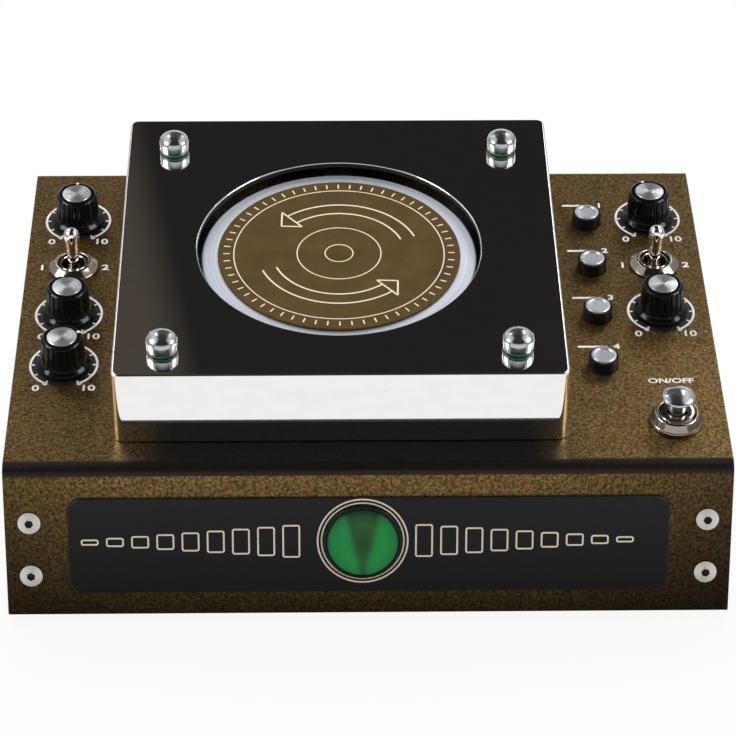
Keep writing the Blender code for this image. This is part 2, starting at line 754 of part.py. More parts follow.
def deck_plate():
    """Plate with the spindle's bearing boss and the four shouldered studs that hold the cover."""
    front, back = stud_rows().values()
    width = COVER_WIDTH - 2 * STUD_INSET_SIDE + 2 * STUD_LAND
    depth = back - front + 2 * STUD_LAND
    plate = block(width, depth, GAP, DECK_TOP, 0, (front + back) / 2)
    middle = GAP + DECK_THICKNESS / 2
    joined = [rod(BOSS_RADIUS, middle, BOSS_TOP, MEDIUM)]
    joined.append(rod(BOSS_TAIL_RADIUS, -BOSS_TAIL_DEPTH, middle, MEDIUM))
    shoulder = COVER_HEIGHT - COVER_SHEET - GAP
    tip = COVER_HEIGHT + STUD_PROUD
    profile = [
        (0, tip),
        (STUD_RADIUS, tip),
        (STUD_RADIUS, shoulder),
        (STUD_SHOULDER_RADIUS, shoulder),
        (STUD_SHOULDER_RADIUS, middle),
        (0, middle),
    ]
    for x, y in stud_places().values():
        joined.append(moved(turned(profile, COARSE), Matrix.Translation((x, y, 0))))
    bore = rod(SPINDLE_RADIUS + GAP, -BOSS_TAIL_DEPTH - OVERRUN, BOSS_TOP + OVERRUN)
    motor_hole = rod(MOTOR_BOSS_RADIUS + GAP, -OVERRUN, DECK_TOP + OVERRUN)
    return combined(plate, joined, [bore, moved(motor_hole, Matrix.Translation((WHEEL_OFFSET, 0, 0)))])


def drum():
    """Inverted cup. Its outer wall carries the magnetic track and its hub sits on the spindle."""
    low = DRUM_TOP - DRUM_DEPTH
    web = DRUM_TOP - DRUM_WEB
    bore = SPINDLE_RADIUS + GAP
    profile = [
        (0, DRUM_TOP),
        (DRUM_RADIUS - DRUM_CHAMFER, DRUM_TOP),
        (DRUM_RADIUS, DRUM_TOP - DRUM_CHAMFER),
        (DRUM_RADIUS, low),
        (DRUM_INNER_RADIUS, low),
        (DRUM_INNER_RADIUS, web),
        (DRUM_HUB_RADIUS, web),
        (DRUM_HUB_RADIUS, HUB_LOW),
        (bore, HUB_LOW),
        (bore, HUB_BORE_TOP),
        (0, HUB_BORE_TOP),
    ]
    return turned(profile, FINE)


def drum_label():
    return rod(LABEL_RADIUS, DRUM_TOP + GAP, DRUM_TOP + GAP + LABEL_THICKNESS, FINE)


def drum_spindle():
    """Steel spindle with its retaining clip under the bearing boss."""
    top = HUB_BORE_TOP - GAP
    clip_top = -BOSS_TAIL_DEPTH - GAP
    clip_low = clip_top - CLIP_THICKNESS
    profile = [
        (0, top),
        (SPINDLE_RADIUS, top),
        (SPINDLE_RADIUS, clip_top),
        (CLIP_RADIUS, clip_top),
        (CLIP_RADIUS, clip_low),
        (SPINDLE_RADIUS, clip_low),
        (SPINDLE_RADIUS, clip_low - SPINDLE_TAIL),
        (0, clip_low - SPINDLE_TAIL),
    ]
    return turned(profile, COARSE)


def drive_wheel():
    """Rubber-tyred wheel with the motor's shaft."""
    profile = [
        (0, WHEEL_HIGH),
        (WHEEL_RADIUS - WHEEL_CHAMFER, WHEEL_HIGH),
        (WHEEL_RADIUS, WHEEL_HIGH - WHEEL_CHAMFER),
        (WHEEL_RADIUS, WHEEL_LOW + WHEEL_CHAMFER),
        (WHEEL_RADIUS - WHEEL_CHAMFER, WHEEL_LOW),
        (WHEEL_HUB_RADIUS, WHEEL_LOW),
        (WHEEL_HUB_RADIUS, DECK_TOP + GAP),
        (MOTOR_SHAFT_RADIUS, DECK_TOP + GAP),
        (MOTOR_SHAFT_RADIUS, -MOTOR_SHAFT_TAIL),
        (0, -MOTOR_SHAFT_TAIL),
    ]
    return turned(profile, MEDIUM)


def drive_motor():
    """Can motor under the panel. Its boss passes the panel and the deck plate."""
    low = PANEL_UNDERSIDE - MOTOR_LENGTH
    bore = MOTOR_SHAFT_RADIUS + GAP
    profile = [
        (0, -MOTOR_SHAFT_TAIL - GAP),
        (bore, -MOTOR_SHAFT_TAIL - GAP),
        (bore, DECK_TOP),
        (MOTOR_BOSS_RADIUS, DECK_TOP),
        (MOTOR_BOSS_RADIUS, PANEL_UNDERSIDE),
        (MOTOR_RADIUS - MOTOR_CHAMFER, PANEL_UNDERSIDE),
        (MOTOR_RADIUS, PANEL_UNDERSIDE - MOTOR_CHAMFER),
        (MOTOR_RADIUS, low + MOTOR_CHAMFER),
        (MOTOR_RADIUS - MOTOR_CHAMFER, low),
        (0, low),
    ]
    return turned(profile, MEDIUM)


def tape_head(width):
    """Head block on its bracket. The pole face touches the drum, whose axis is the origin."""
    face = DRUM_RADIUS + GAP
    back = face + HEAD_RADIAL
    neck = face + HEAD_NECK_SET_BACK
    foot_front = face + HEAD_FOOT_SET_BACK
    foot_back = back + HEAD_FOOT_REACH
    foot_low = DECK_TOP + GAP
    foot_high = foot_low + HEAD_FOOT_THICKNESS
    outline = [
        (face, HEAD_TOP),
        (back, HEAD_TOP),
        (back, foot_high),
        (foot_back, foot_high),
        (foot_back, foot_low),
        (foot_front, foot_low),
        (foot_front, foot_high),
        (neck, foot_high),
        (neck, HEAD_LOW),
        (face, HEAD_LOW),
    ]
    return prism(outline, -width / 2, width / 2, along_y)


def knob():
    """Fluted, skirted knob, hollow beneath for the bush's nut, with the shaft that it is fixed on."""
    skirt_edge = KNOB_SKIRT_LOW + KNOB_SKIRT_THICKNESS
    skirt_top = skirt_edge + KNOB_SKIRT_RISE
    profile = [
        (0, KNOB_HEIGHT),
        (KNOB_DISC_RADIUS, KNOB_HEIGHT),
        (KNOB_TOP_RADIUS, KNOB_SHOULDER_HEIGHT, KNOB_FLUTE_DEPTH),
        (KNOB_RADIUS, skirt_top, KNOB_FLUTE_DEPTH),
        (KNOB_SKIRT_RADIUS, skirt_edge),
        (KNOB_SKIRT_RADIUS, KNOB_SKIRT_LOW),
        (KNOB_RECESS_RADIUS, KNOB_SKIRT_LOW),
        (KNOB_RECESS_RADIUS, KNOB_RECESS_HEIGHT),
        (KNOB_SHAFT_RADIUS, KNOB_RECESS_HEIGHT),
        (KNOB_SHAFT_RADIUS, -KNOB_SHAFT_DEPTH),
        (0, -KNOB_SHAFT_DEPTH),
    ]
    return turned(profile, MEDIUM, KNOB_FLUTES)


def pot():
    """Potentiometer under the panel, its bush through the panel and its nut on top."""
    low = PANEL_UNDERSIDE - POT_BODY_DEPTH
    bore = KNOB_SHAFT_RADIUS + GAP
    nut_top = GAP + POT_NUT_THICKNESS
    profile = [
        (0, -KNOB_SHAFT_DEPTH - GAP),
        (bore, -KNOB_SHAFT_DEPTH - GAP),
        (bore, POT_BUSH_HIGH),
        (POT_BUSH_RADIUS, POT_BUSH_HIGH),
        (POT_BUSH_RADIUS, nut_top),
        (POT_NUT_RADIUS, nut_top),
        (POT_NUT_RADIUS, GAP),
        (POT_BUSH_RADIUS, GAP),
        (POT_BUSH_RADIUS, PANEL_UNDERSIDE),
        (POT_BODY_RADIUS, PANEL_UNDERSIDE),
        (POT_BODY_RADIUS, low),
        (0, low),
    ]
    return turned(profile, COARSE)


def toggle_lever():
    """Bat lever with its pivot ball. Its origin is the pivot."""
    neck_angle = math.asin(TOGGLE_NECK_RADIUS / TOGGLE_BALL_RADIUS)
    ball = []
    for k in range(BALL_STEPS + 1):
        angle = math.pi - (math.pi - neck_angle) * k / BALL_STEPS
        radius = TOGGLE_BALL_RADIUS * math.sin(angle) if k else 0
        ball.append((radius, TOGGLE_BALL_RADIUS * math.cos(angle)))
    tip_centre = TOGGLE_PIVOT_DEPTH + TOGGLE_TIP_HIGH - TOGGLE_TIP_RADIUS
    tip = []
    for k in range(DOME_STEPS + 1):
        angle = math.pi / 2 * (1 - k / DOME_STEPS)
        radius = TOGGLE_TIP_RADIUS * math.sin(angle) if k < DOME_STEPS else 0
        tip.append((radius, tip_centre + TOGGLE_TIP_RADIUS * math.cos(angle)))
    neck = (TOGGLE_NECK_RADIUS, TOGGLE_PIVOT_DEPTH + TOGGLE_NECK_HIGH)
    return turned([*ball, neck, *tip], COARSE)


def toggle_switch():
    floor = -TOGGLE_PIVOT_DEPTH - TOGGLE_BALL_RADIUS - GAP
    low = PANEL_UNDERSIDE - TOGGLE_BODY_DEPTH
    body = block(TOGGLE_BODY_WIDTH, TOGGLE_BODY_LENGTH, low, PANEL_UNDERSIDE)
    bush = rod(TOGGLE_BUSH_RADIUS, floor, TOGGLE_BUSH_HIGH)
    bore = rod(LEVER_HOLE_RADIUS, floor, TOGGLE_BUSH_HIGH + OVERRUN)
    return combined(body, [bush], [bore])


def dress_nut(radius, edge, top_radius, height, bore):
    """Conical nut over a bush."""
    cone = [(bore, height), (top_radius, height), (radius, GAP + edge), (radius, GAP), (bore, GAP)]
    return turned(cone, MEDIUM)


def playback_button():
    """Dished cap on its stem."""
    low = BUTTON_TOP - BUTTON_THICKNESS
    profile = [
        (0, BUTTON_TOP - BUTTON_DISH_DEPTH),
        (BUTTON_DISH_RADIUS, BUTTON_TOP - BUTTON_DISH_DEPTH),
        (BUTTON_RADIUS - BUTTON_DISH_DEPTH, BUTTON_TOP),
        (BUTTON_RADIUS, BUTTON_TOP - BUTTON_DISH_DEPTH),
        (BUTTON_RADIUS, low),
        (BUTTON_STEM_RADIUS, low),
        (BUTTON_STEM_RADIUS, -BUTTON_STEM_DEPTH),
        (0, -BUTTON_STEM_DEPTH),
    ]
    return turned(profile, COARSE)


def playback_switch_board():
    """Board under the panel with four push switches, whose collars pass the panel."""
    rows = button_rows()
    board_high = PANEL_UNDERSIDE - SWITCH_BODY_DEPTH
    board_low = board_high - BOARD_THICKNESS
    middle = (rows[0] + rows[-1]) / 2
    length = rows[0] - rows[-1] + 2 * SWITCH_BOARD_MARGIN
    board = block(SWITCH_BOARD_WIDTH, length, board_low, board_high, BUTTON_X, middle)
    wide_low = BUTTON_TOP - BUTTON_THICKNESS - BUTTON_TRAVEL - GAP
    narrow_low = -BUTTON_STEM_DEPTH - BUTTON_TRAVEL - GAP
    collar_profile = [
        (0, COLLAR_HIGH),
        (COLLAR_RADIUS - COLLAR_CHAMFER, COLLAR_HIGH),
        (COLLAR_RADIUS, COLLAR_HIGH - COLLAR_CHAMFER),
        (COLLAR_RADIUS, PANEL_UNDERSIDE - GAP),
        (0, PANEL_UNDERSIDE - GAP),
    ]
    bore_profile = [
        (0, COLLAR_HIGH + OVERRUN),
        (BUTTON_RADIUS + GAP, COLLAR_HIGH + OVERRUN),
        (BUTTON_RADIUS + GAP, wide_low),
        (BUTTON_STEM_RADIUS + GAP, wide_low),
        (BUTTON_STEM_RADIUS + GAP, narrow_low),
        (0, narrow_low),
    ]
    joined, cut = [], []
    for y in rows:
        at = Matrix.Translation((BUTTON_X, y, 0))
        low = board_low + BOARD_THICKNESS / 2
        joined.append(block(SWITCH_BODY_SIDE, SWITCH_BODY_SIDE, low, PANEL_UNDERSIDE, BUTTON_X, y))
        joined.append(moved(turned(collar_profile, COARSE), at))
        cut.append(moved(turned(bore_profile, COARSE), at))
    return combined(board, joined, cut)


def footswitch_button():
    """Mushroom cap on its stem."""
    edge = FOOTSWITCH_CAP_LOW + FOOTSWITCH_CAP_EDGE
    profile = [
        *dome(FOOTSWITCH_CAP_RADIUS, edge, FOOTSWITCH_CAP_RISE),
        (FOOTSWITCH_CAP_RADIUS, FOOTSWITCH_CAP_LOW),
        (FOOTSWITCH_STEM_RADIUS, FOOTSWITCH_CAP_LOW),
        (FOOTSWITCH_STEM_RADIUS, -FOOTSWITCH_STEM_DEPTH),
        (0, -FOOTSWITCH_STEM_DEPTH),
    ]
    return turned(profile, COARSE)


def footswitch_body():
    low = PANEL_UNDERSIDE - FOOTSWITCH_BODY_DEPTH
    body = block(FOOTSWITCH_BODY_SIDE, FOOTSWITCH_BODY_SIDE, low, PANEL_UNDERSIDE)
    bush = rod(FOOTSWITCH_BUSH_RADIUS, PANEL_UNDERSIDE - GAP, FOOTSWITCH_BUSH_HIGH)
    floor = -FOOTSWITCH_STEM_DEPTH - FOOTSWITCH_TRAVEL - GAP
    bore = rod(FOOTSWITCH_STEM_RADIUS + GAP, floor, FOOTSWITCH_BUSH_HIGH + OVERRUN)
    return combined(body, [bush], [bore])


def socket(sleeve_radius, nut_radius, bore_shape):
    """Body behind the back wall, sleeve through it and nut outside, cut by the bore."""
    body = block(SOCKET_BODY_WIDTH, SOCKET_BODY_HEIGHT, -SHEET - GAP - SOCKET_BODY_DEPTH, -SHEET - GAP)
    nut_top = GAP + SOCKET_NUT_THICKNESS
    profile = [
        (0, BACK_REACH),
        (sleeve_radius, BACK_REACH),
        (sleeve_radius, nut_top),
        (nut_radius, nut_top),
        (nut_radius, GAP),
        (sleeve_radius, GAP),
        (sleeve_radius, -SHEET - 2 * GAP),
        (0, -SHEET - 2 * GAP),
    ]
    return combined(body, [turned(profile, COARSE)], [bore_shape])


def inlet_bore():
    """Ring-shaped cutter that leaves the centre pin standing."""
    floor = BACK_REACH - INLET_BORE_DEPTH
    pin_top = BACK_REACH - INLET_PIN_SET_BACK
    profile = [
        (0, BACK_REACH + OVERRUN),
        (INLET_BORE_RADIUS, BACK_REACH + OVERRUN),
        (INLET_BORE_RADIUS, floor),
        (INLET_PIN_RADIUS, floor),
        (INLET_PIN_RADIUS, pin_top),
        (0, pin_top),
    ]
    return turned(profile, COARSE)


def main_board():
    """Circuit board with its modules, on four standoffs from the base plate."""
    standoff_low = BASE_SHEET + GAP
    board_low = standoff_low + STANDOFF_HEIGHT
    board_high = board_low + BOARD_THICKNESS
    middle = (board_low + board_high) / 2
    board = block(MAIN_BOARD_WIDTH, MAIN_BOARD_DEPTH, board_low, board_high)
    joined = []
    for sx in (-1, 1):
        for sy in (-1, 1):
            x = sx * (MAIN_BOARD_WIDTH / 2 - STANDOFF_INSET)
            y = sy * (MAIN_BOARD_DEPTH / 2 - STANDOFF_INSET)
            joined.append(moved(rod(STANDOFF_RADIUS, standoff_low, middle), Matrix.Translation((x, y, 0))))
    for k, (height, share) in enumerate(zip(MODULE_HEIGHTS, MODULE_WIDTH_SHARES)):
        x = (k - 1) * MAIN_BOARD_WIDTH * MODULE_SPACING_SHARE
        width = MAIN_BOARD_WIDTH * share
        joined.append(block(width, MODULE_DEPTH, middle, board_high + height, x))
    return combined(board, joined)


def clear_scene():
    for obj in list(bpy.data.objects):
        bpy.data.objects.remove(obj)


def make_finishes():
    return {
        "hammered": finish("bronze_hammered_powder_coat", "#5c4a2b", 0.42, 0.3),
        "steel": finish("zinc_plated_steel", "#b4b6b8", 0.35, 1.0),
        "screw": finish("nickel_plated_steel", "#c9c9c6", 0.25, 1.0),
        "black_plate": finish("satin_black_anodised_plate", "#1a1b1d", 0.45, 0.0),
        "chrome": finish("polished_chrome", "#d9dadb", 0.05, 1.0),
        "drum": finish("turned_aluminium", "#b4bccb", 0.3, 1.0),
        "label": finish("bronze_printed_label", "#6a5128", 0.4, 0.4),
        "aluminium": finish("cast_aluminium", "#9fa2a5", 0.5, 1.0),
        "rubber": finish("black_rubber", "#1b1b1b", 0.8, 0.0),
        "lens": finish("green_glass", "#1c7a3a", 0.15, 0.0),
        "black_plastic": finish("black_moulded_plastic", "#141416", 0.3, 0.0),
        "cap": finish("satin_silver_cap", "#b9bec4", 0.3, 0.9),
        "board": finish("green_circuit_board", "#1e4a32", 0.5, 0.0),
        "head": finish("head_mumetal_can", "#a8a49a", 0.35, 1.0),
    }


def build_case(case, front, back, finishes):
    piece("top_shell", top_shell(), finishes["hammered"], case)
    for hand in ("left", "right"):
        piece(f"{hand}_end_plate", end_plate(hand), finishes["hammered"], case)
    piece("base_plate", base_plate(), finishes["steel"], case)
    foot_mesh = mesh_of(foot(), "foot")
    for name, (x, y) in foot_places().items():
        piece(f"foot_{name}", foot_mesh, finishes["rubber"], case, (x, y, 0))
    screw_mesh = mesh_of(shell_screw(), "shell_screw")
    for name, (x, height) in screw_places().items():
        piece(f"shell_screw_{name}", screw_mesh, finishes["screw"], front, (x, height, 0))
    piece("name_plate", name_plate(), finishes["black_plate"], front)
    piece("lamp_holder", lamp_holder(), finishes["black_plastic"], front, (LAMP_X, LAMP_HEIGHT, 0))
    piece("lamp_lens", lamp_lens(), finishes["lens"], front, (LAMP_X, LAMP_HEIGHT, 0))
    jack_bore = BACK_REACH - JACK_BORE_DEPTH
    for name in ("input_jack", "output_jack"):
        bore = rod(JACK_BORE_RADIUS, jack_bore, BACK_REACH + OVERRUN)
        shape = socket(JACK_SLEEVE_RADIUS, JACK_NUT_RADIUS, bore)
        piece(name, shape, finishes["black_plastic"], back, (socket_places()[name][0], SOCKET_HEIGHT, 0))
    inlet = socket(INLET_SLEEVE_RADIUS, INLET_NUT_RADIUS, inlet_bore())
    place = (socket_places()["power_inlet"][0], SOCKET_HEIGHT, 0)
    piece("power_inlet", inlet, finishes["black_plastic"], back, place)
    board_y = MAIN_BOARD_FRONT_Y + MAIN_BOARD_DEPTH / 2
    piece("main_board", main_board(), finishes["board"], case, (MAIN_BOARD_X, board_y, 0))


def build_drum_unit(panel, finishes):
    centre = (DRUM_X, DRUM_Y, 0)
    piece("drum_cover", drum_cover(), finishes["chrome"], panel, (DRUM_X, COVER_Y, 0))
    nut_mesh = mesh_of(cover_nut(), "cover_nut")
    for name, (x, y) in stud_places().items():
        place = (DRUM_X + x, DRUM_Y + y, COVER_HEIGHT)
        piece(f"cover_nut_{name}", nut_mesh, finishes["chrome"], panel, place)
    piece("deck_plate", deck_plate(), finishes["aluminium"], panel, centre)
    piece("drum", drum(), finishes["drum"], panel, centre)
    piece("drum_label", drum_label(), finishes["label"], panel, centre)
    piece("drum_spindle", drum_spindle(), finishes["steel"], panel, centre)
    wheel_axis = (DRUM_X + WHEEL_OFFSET, DRUM_Y, 0)
    piece("drive_wheel", drive_wheel(), finishes["rubber"], panel, wheel_axis)
    piece("drive_motor", drive_motor(), finishes["steel"], panel, wheel_axis)
    for name, degrees in HEAD_ANGLES_DEG.items():
        width = ERASE_HEAD_WIDTH if name == "erase_head" else HEAD_WIDTH
        piece(name, tape_head(width), finishes["head"], panel, centre, math.radians(degrees))


def build_controls(panel, finishes):
    knob_mesh = mesh_of(knob(), "knob")
    pot_mesh = mesh_of(pot(), "pot")
    for name, (x, y) in knob_places().items():
        piece(f"{name}_knob", knob_mesh, finishes["black_plastic"], panel, (x, y, 0))
        piece(f"{name}_pot", pot_mesh, finishes["steel"], panel, (x, y, 0))
    lever_mesh = mesh_of(toggle_lever(), "toggle_lever")
    nut = (TOGGLE_NUT_RADIUS, TOGGLE_NUT_EDGE, TOGGLE_NUT_TOP_RADIUS, TOGGLE_NUT_HEIGHT)
    for name, (x, y) in toggle_places().items():
        piece(f"{name}_toggle_lever", lever_mesh, finishes["chrome"], panel, (x, y, -TOGGLE_PIVOT_DEPTH))
        piece(f"{name}_toggle_switch", toggle_switch(), finishes["steel"], panel, (x, y, 0))
        shape = dress_nut(*nut, TOGGLE_BUSH_RADIUS + GAP)
        piece(f"{name}_toggle_nut", shape, finishes["chrome"], panel, (x, y, 0))
    button_mesh = mesh_of(playback_button(), "playback_button")
    for k, y in enumerate(button_rows()):
        piece(f"playback_button_{k + 1}", button_mesh, finishes["cap"], panel, (BUTTON_X, y, 0))
    piece("playback_switch_board", playback_switch_board(), finishes["black_plastic"], panel)
    place = (FOOTSWITCH_X, FOOTSWITCH_Y, 0)
    piece("footswitch_button", footswitch_button(), finishes["chrome"], panel, place)
    piece("footswitch_body", footswitch_body(), finishes["steel"], panel, place)
    nut = (FOOTSWITCH_NUT_RADIUS, FOOTSWITCH_NUT_EDGE, FOOTSWITCH_NUT_TOP_RADIUS, FOOTSWITCH_NUT_HEIGHT)
    piece("footswitch_nut", dress_nut(*nut, FOOTSWITCH_BUSH_RADIUS + GAP), finishes["chrome"], panel, place)


def build():
    clear_scene()
    finishes = make_finishes()
    case = axes("case_axes", None, (0, -MIDDLE_Y, FOOT_HEIGHT), (0, 0, 0))
    panel = axes("panel_axes", case, (0, 0, FRONT_HEIGHT), (PANEL_SLOPE, 0, 0))
    front = axes("front_axes", case, (0, 0, 0), (math.pi / 2, 0, 0))
    back = axes("back_axes", case, (0, CASE_DEPTH, 0), (math.pi / 2, 0, math.pi))
    build_case(case, front, back, finishes)
    build_drum_unit(panel, finishes)
    build_controls(panel, finishes)


build()
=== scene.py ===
import math

import bmesh
import bpy
from mathutils import Matrix, Vector


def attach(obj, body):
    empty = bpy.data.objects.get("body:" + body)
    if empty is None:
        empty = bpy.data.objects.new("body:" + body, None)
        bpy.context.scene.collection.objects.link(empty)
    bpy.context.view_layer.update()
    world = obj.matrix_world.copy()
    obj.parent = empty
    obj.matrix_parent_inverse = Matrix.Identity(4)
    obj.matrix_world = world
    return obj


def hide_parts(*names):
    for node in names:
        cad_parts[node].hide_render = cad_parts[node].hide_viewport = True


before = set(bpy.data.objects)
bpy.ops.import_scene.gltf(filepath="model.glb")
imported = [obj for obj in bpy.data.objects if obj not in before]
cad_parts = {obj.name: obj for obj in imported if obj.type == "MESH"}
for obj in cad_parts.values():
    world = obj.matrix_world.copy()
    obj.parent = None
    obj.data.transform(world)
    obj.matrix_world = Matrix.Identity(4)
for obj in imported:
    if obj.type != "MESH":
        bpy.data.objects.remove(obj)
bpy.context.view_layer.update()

# Shell and end plates
# One steel sheet folded into front face, sloping panel and back, closed by two pressed end plates.
# All of it carries a hammered bronze powder coat: gold flakes that gathered between dark veins
# as the coat shrank in the oven.

mm = 0.001
CASE_WIDTH = 240.0 * mm
PANEL_LENGTH = 165.2 * mm
PANEL_SLOPE = math.radians(18.8)
CASE_DEPTH = PANEL_LENGTH * math.cos(PANEL_SLOPE)
FRONT_HEIGHT = 52.9 * mm
FOOT_HEIGHT = 3.0 * mm
EDGE_BREAK = 0.35 * mm
WELD_REACH = 0.002 * mm
FLAT_ANGLE, SHARP_ANGLE = math.radians(0.4), math.radians(32)

# Axes of the case, of its panel and of its front and back faces, whose Z points out of the sheet
upright = Matrix.Rotation(math.pi / 2, 4, "X")
case = Matrix.Translation((0, -CASE_DEPTH / 2, FOOT_HEIGHT))
panel = case @ Matrix.Translation((0, 0, FRONT_HEIGHT)) @ Matrix.Rotation(PANEL_SLOPE, 4, "X")
front = case @ upright
back = case @ Matrix.Translation((0, CASE_DEPTH, 0)) @ Matrix.Rotation(math.pi, 4, "Z") @ upright


def linear(hex_colour):
    """sRGB hex to the linear values that a shader takes."""
    channels = [int(hex_colour[k : k + 2], 16) / 255 for k in (1, 3, 5)]
    return (*(c / 12.92 if c <= 0.04045 else ((c + 0.055) / 1.055) ** 2.4 for c in channels), 1)


def connect(tree, node, inputs):
    """Links each socket among the inputs, or a node's first output, and sets each other value."""
    for name, value in inputs.items():
        if isinstance(value, bpy.types.Node):
            value = value.outputs[0]
        if isinstance(value, bpy.types.NodeSocket):
            tree.links.new(value, node.inputs[name])
        else:
            node.inputs[name].default_value = value


def add_node(tree, kind, inputs=None, stops=(), **settings):
    """Adds a node with its settings and links. Stops are a colour ramp's places and hex colours."""
    node = tree.nodes.new(kind)
    for name, value in settings.items():
        setattr(node, name, value)
    for k, (place, colour) in enumerate(stops):
        elements = node.color_ramp.elements
        element = elements[k] if k < 2 else elements.new(place)
        element.position = place
        element.color = linear(colour)
    connect(tree, node, inputs or {})
    return node


def new_material(name, constants):
    """A material with its tree and its surface shader, whose constants are set."""
    material = bpy.data.materials.new(name)
    material.use_nodes = True
    shader = material.node_tree.nodes["Principled BSDF"]
    connect(material.node_tree, shader, constants)
    return material, material.node_tree, shader


def in_scene(name, data):
    """A mesh, curve, lamp or camera as an object of the scene."""
    obj = bpy.data.objects.new(name, data)
    bpy.context.scene.collection.objects.link(obj)
    return obj


def mesh_of(name, bm):
    """A built shape as a mesh."""
    mesh = bpy.data.meshes.new(name)
    bm.to_mesh(mesh)
    bm.free()
    return mesh


def piece(name, mesh, materials, body="chassis", replaces=()):
    """Makes a finished mesh a piece of the object, shaded smooth, that rides on a body."""
    if isinstance(mesh, bmesh.types.BMesh):
        mesh = mesh_of(name, mesh)
    for number, material in enumerate(materials if isinstance(materials, (list, tuple)) else [materials]):
        if number < len(mesh.materials):
            mesh.materials[number] = material
        else:
            mesh.materials.append(material)
    mesh.shade_smooth()
    mesh.set_sharp_from_angle(angle=SHARP_ANGLE)
    obj = in_scene(name, mesh)
    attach(obj, body)
    if replaces:
        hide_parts(*replaces)
    return obj


def flat_faced(obj):
    """Lets the large flat faces set the shading beside small bends and bevels."""
    modifier = obj.modifiers.new("flat faces lead the shading", "WEIGHTED_NORMAL")
    modifier.keep_sharp = True
    modifier.weight = 100
    return obj


def merged_copy(node, broken_edges=None):
    """A CAD piece's shape, its triangles merged. A small bevel breaks the edges that pass the test."""
    bm = bmesh.new()
    bm.from_mesh(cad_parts[node].data)
    bmesh.ops.remove_doubles(bm, verts=bm.verts, dist=WELD_REACH)
    bmesh.ops.dissolve_limit(bm, angle_limit=FLAT_ANGLE, verts=bm.verts, edges=bm.edges)
    if broken_edges:
        sharp = [e for e in bm.edges if len(e.link_faces) == 2 and e.calc_face_angle(0) > 1]
        sharp = [e for e in sharp if broken_edges(e)]
        bmesh.ops.bevel(bm, geom=sharp, offset=EDGE_BREAK, segments=2, profile=0.5, affect="EDGES")
    uv = bm.loops.layers.uv.verify()
    for face in bm.faces:
        for loop in face.loops:
            loop[uv].uv = loop.vert.co.xz / mm
    return bm


def at_case_side(edge):
    """Whether an edge lies in one of the two sides, where the sheet was cut."""
    return all(abs(vert.co.x) > CASE_WIDTH / 2 - 0.05 * mm for vert in edge.verts)


# Hammered powder coat: bronze metal that mirrors its surroundings softly, broken by dimples with darker
# veins and by gold and copper flakes. Painted reflection and painted shadow follow the place: almost black
# along the front bend and in the corner before the cover, darker at the bottom and both ends of the front
# face, and a painted light makes it golden beside the footswitch.
FLAKE, DIMPLE, HUE_SPOT = 1.0 * mm, 1.6 * mm, 1.9 * mm
DRIFT_GRAIN, DRIFT = 1.2 * mm, 1.1 * mm
FACE_Y = -CASE_DEPTH / 2
BEND_Z = FOOT_HEIGHT + 49.7 * mm
COVER_MIDDLE_X = -6.0 * mm
FACE_TOP_Z = 50 * mm
# Strengths of the painted shade and painted light on the coat
PAINTED_SHADE_SHARE, FACE_POWER = 0.94, 1.7
FACE_PAINTED_SHADE_LOW, FACE_PAINTED_LIGHT_HIGH, PAINTED_SHADE_LEFT_END, PAINTED_SHADE_RIGHT_END, PAINTED_GOLD_LIGHT_LEVEL = 0.20, 1.06, 0.66, 0.44, 1.42

coat, tree, shader = new_material("hammered_bronze_powder_coat", {"Metallic": 0.96, "Coat Weight": 0.05})
coords = add_node(tree, "ShaderNodeTexCoord").outputs["Object"]
drift = add_node(tree, "ShaderNodeTexNoise", {"Vector": coords, "Scale": 1 / DRIFT_GRAIN, "Detail": 3.0})
shift = add_node(tree, "ShaderNodeVectorMath", {0: drift.outputs[1], 1: (DRIFT,) * 3}, operation="MULTIPLY")
warped = add_node(tree, "ShaderNodeVectorMath", {0: coords, 1: shift}, operation="ADD")
veins = add_node(
    tree, "ShaderNodeTexVoronoi", {"Vector": warped, "Scale": 1 / DIMPLE}, feature="DISTANCE_TO_EDGE"
).outputs["Distance"]
flakes = add_node(
    tree, "ShaderNodeTexNoise", {"Vector": coords, "Scale": 1 / FLAKE, "Detail": 2.0, "Roughness": 0.6}
)
hue = add_node(tree, "ShaderNodeTexNoise", {"Vector": coords, "Scale": 1 / HUE_SPOT, "Detail": 1.0})
browns = ((0.38, "#8d6a41"), (0.50, "#8f7344"), (0.62, "#8c7745"))
metal = add_node(tree, "ShaderNodeValToRGB", {"Fac": hue}, stops=browns)
at_x, at_y, at_z = add_node(tree, "ShaderNodeSeparateXYZ", {0: coords}).outputs
aside = add_node(tree, "ShaderNodeMath", {0: at_x, 1: COVER_MIDDLE_X}, operation="SUBTRACT")
aside = add_node(tree, "ShaderNodeMath", {0: aside}, operation="ABSOLUTE")

